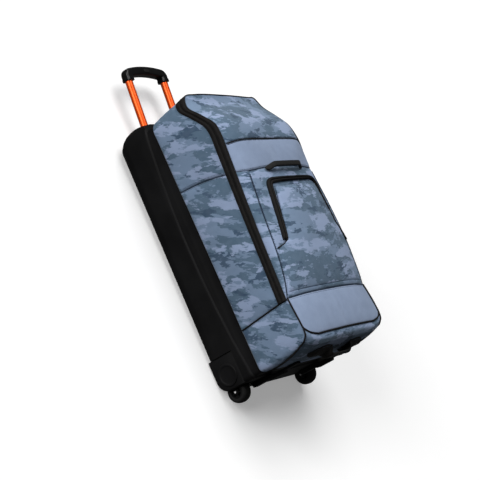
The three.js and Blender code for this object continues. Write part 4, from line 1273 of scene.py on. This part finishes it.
def grab_handles():
    f = FRONT_HANDLE
    y = np.linspace(-f.half, f.half, STRAP_POINTS)
    rise = arch(f, y)
    seat = FRONT.on(np.full_like(y, f.x + f.lean), y, f.thickness / 2 + 0.6)
    points = np.column_stack([f.x - f.lean * rise / f.rise, y, seat[:, 2] + rise])
    full = np.sqrt(np.clip((f.half - np.abs(y) + 1) / 14, 0.05, 1))
    section = np.stack([round_section(f.width * e, f.thickness * e, 3.2 * e) for e in full])
    trim("strap_front_handle", "front_handle", points, UPRIGHT, section, WEBBING)
    b = BOTTOM_HANDLE
    y = np.linspace(-b.half, b.half, STRAP_POINTS)
    points = np.column_stack([b.x + arch(b, y), y, np.full_like(y, b.z)])
    section = round_section(b.width, b.thickness, 1.6)
    trim("strap_bottom_handle", "bottom_handle", points, (1, 0, 0), section, WEBBING)
    sleeve("near_sleeve", -1)
    sleeve("far_sleeve", 1)


def sleeve(name, side):
    """Half-moon cover over one end of the bottom handle, raised where the strap comes out."""
    b, v = BOTTOM_HANDLE, SLEEVE
    t = shares(30)
    s = np.linspace(-1, 1, 25)
    y = v.tip + (v.mouth - v.tip) * t
    full = np.sin(np.pi / 2 * np.clip(t / v.widest, 0.02, 1)) ** 0.75
    narrow = 1 - v.narrowing * eased((t - v.widest) / (1 - v.widest))
    z = b.z + (v.half_width * full * narrow)[:, None] * s[None]
    sideways = y[:, None] + v.hollow * eased((t - 0.5) / 0.5)[:, None] * (1 - s[None] ** 2)
    grid = BOTTOM.on(side * sideways, z, 1.2)
    crown = b.x + arch(b, y) + b.thickness / 2 + v.cover
    over = (1 - np.abs(s)[None] ** 2.6) ** 0.8
    grid[..., 0] += np.maximum(crown[:, None] - grid[..., 0], 0) * over * eased(t / 0.25)[:, None]
    cloth_object(name, grid, BLACK, None, sewn_to="bottom_panel")


STITCH = [
    (-1.6, -0.4, -0.2), (1.6, -0.4, -0.2), (1.6, 0.4, -0.2), (-1.6, 0.4, -0.2),
    (-1.3, -0.3, 0.45), (1.3, -0.3, 0.45), (1.3, 0.3, 0.45), (-1.3, 0.3, 0.45),
]
# Topstitched borders: panel, sides of its grid
STITCHED = {
    "near_mid_side": ["end"], "near_upper_side": ["start"], "near_lower_side": ["start"],
    "far_mid_side": ["start"], "far_upper_side": ["end"], "far_lower_side": ["start"],
    "upper_panel": ["low", "high"], "lower_panel": ["low", "high"], "lid_top_panel": ["high"],
    "front_panel": ["start", "end"], "pocket_panel": ["low"],
    "near_sleeve": ["start", "end"], "far_sleeve": ["start", "end"],
}
STITCH_PITCH = 5
BESIDE_BORDER = {"low": np.s_[1], "high": np.s_[-2], "start": np.s_[:, 1], "end": np.s_[:, -2]}


def stitches():
    for name, sides in STITCHED.items():
        grid = cloth_grid(name)
        out = normals(grid)
        for side in sides:
            row = BESIDE_BORDER[side]
            points, upward = grid[row][2:-2], out[row][2:-2]
            repeated(f"stitch_{name}_{side}", points + upward * 0.1, upward, STITCH_PITCH, STITCH, THREAD_AND_SEAM_SHADE)


def seams():
    side_seam = straight(on_ring(rim, 0) + np.array([0, 0, 4]), on_ring(low, 0))
    corner = chain((piped_front, BEND_SHARE), (part(piped_end, 0, 0.97), END_SHARE))
    both_sides = (
        ("side", side_seam, 2.0, 0.6, BLACK),
        ("edge", lower_edge, 2.4, 0.6, BLACK),
        ("corner", corner, 2.4, 0.6, BLACK),
        # The front seam's thin dark blue-grey cord marks the real seam; its colour is painted shade of the
        # seam's fold
        ("front", part(front_seam, 0.02, 1), 1.1, -0.4, THREAD_AND_SEAM_SHADE),
    )
    for kind, curve, *looks in both_sides:
        piping(f"cord_near_{kind}", f"near_{kind}_piping", curve, *looks)
        piping(f"cord_far_{kind}", f"far_{kind}_piping", flipped(curve), *looks)
    piping("cord_lower_panel", "lower_panel_piping", BOTTOM_EDGES[0], 2.4, 0.6, BLACK)
    # Thin dark blue-grey cord on the lower seam: a real seam line, its colour painted shade of the seam's
    # fold
    piping("cord_lower_seam", "lower_seam_piping", lower_top_seam, 1.0, 0, THREAD_AND_SEAM_SHADE)
    piping("cord_lid_seam", "lid_seam_piping", part(lid_top_seam, 0.02, 0.965), 1.8, 0.4, BLACK)
    # Thin dark blue-grey cords sunk in the side and upper seams: real seam lines, coloured as painted shade
    # of their folds
    piping("cord_near_upper_side", None, body_seam(SIDE_SEAM), 0.9, -0.6, THREAD_AND_SEAM_SHADE)
    piping("cord_far_upper_side", None, body_seam(FAR - SIDE_SEAM), 0.9, -0.6, THREAD_AND_SEAM_SHADE)
    piping("cord_upper_low", None, upper_low_seam, 0.9, -0.6, THREAD_AND_SEAM_SHADE)


# Stage

def camera():
    lens = bpy.data.cameras.new("camera")
    lens.sensor_width = SENSOR
    lens.lens = LENS_PIXELS / FRAME_PIXELS * SENSOR
    piece = placed("camera", lens)
    right = RIGHT.normalized()
    forward = FORWARD.normalized()
    turn = Matrix((right, right.cross(forward), -forward)).transposed().to_4x4()
    turn.translation = EYE
    piece.matrix_world = turn
    bpy.context.scene.camera = piece


def broad_light(name, towards, width, power):
    """Far light that comes from one side and is soft by its width in degrees."""
    lamp = bpy.data.lights.new(name, "SUN")
    lamp.angle = math.radians(width)
    lamp.energy = power
    placed(name, lamp).rotation_euler = (-Vector(towards)).to_track_quat("-Z", "Y").to_euler()


def floor():
    n = Nodes("floor")
    soft = n.between(n.noise(n.mapped(), 3, 2), 0.3, 0.7)
    color = n.mix(soft, (0.84, 0.84, 0.84, 1), (0.86, 0.86, 0.86, 1))
    n.set(Base_Color=color, Roughness=0.9, Specular_IOR_Level=0.0)
    n.set(Emission_Strength=0.28, Emission_Color=WHITE)
    corners = [(x * FLOOR_HALF, y * FLOOR_HALF, FLOOR_Z) for x, y in ((-1, -1), (1, -1), (1, 1), (-1, 1))]
    piece = new_object("floor", corners, [(0, 1, 2, 3)], n.material)
    piece.visible_diffuse = False
    piece.visible_glossy = False


def lighting():
    scene = bpy.context.scene
    scene.view_settings.view_transform = "Standard"
    world = bpy.data.worlds.new("sky")
    world.use_nodes = True
    sky = world.node_tree.nodes["Background"]
    sky.inputs["Color"].default_value = WHITE
    sky.inputs["Strength"].default_value = SKY_POWER
    scene.world = world
    for name, (towards, width, power) in LAMPS.items():
        broad_light(name, towards, width, power)


hard_pieces()
handle_grip()
body_cloth()
lid_cloth()
main_zip()
front_pocket()
grab_handles()
stuff()
stitches()
thicken()
seams()
camera()
floor()
lighting()
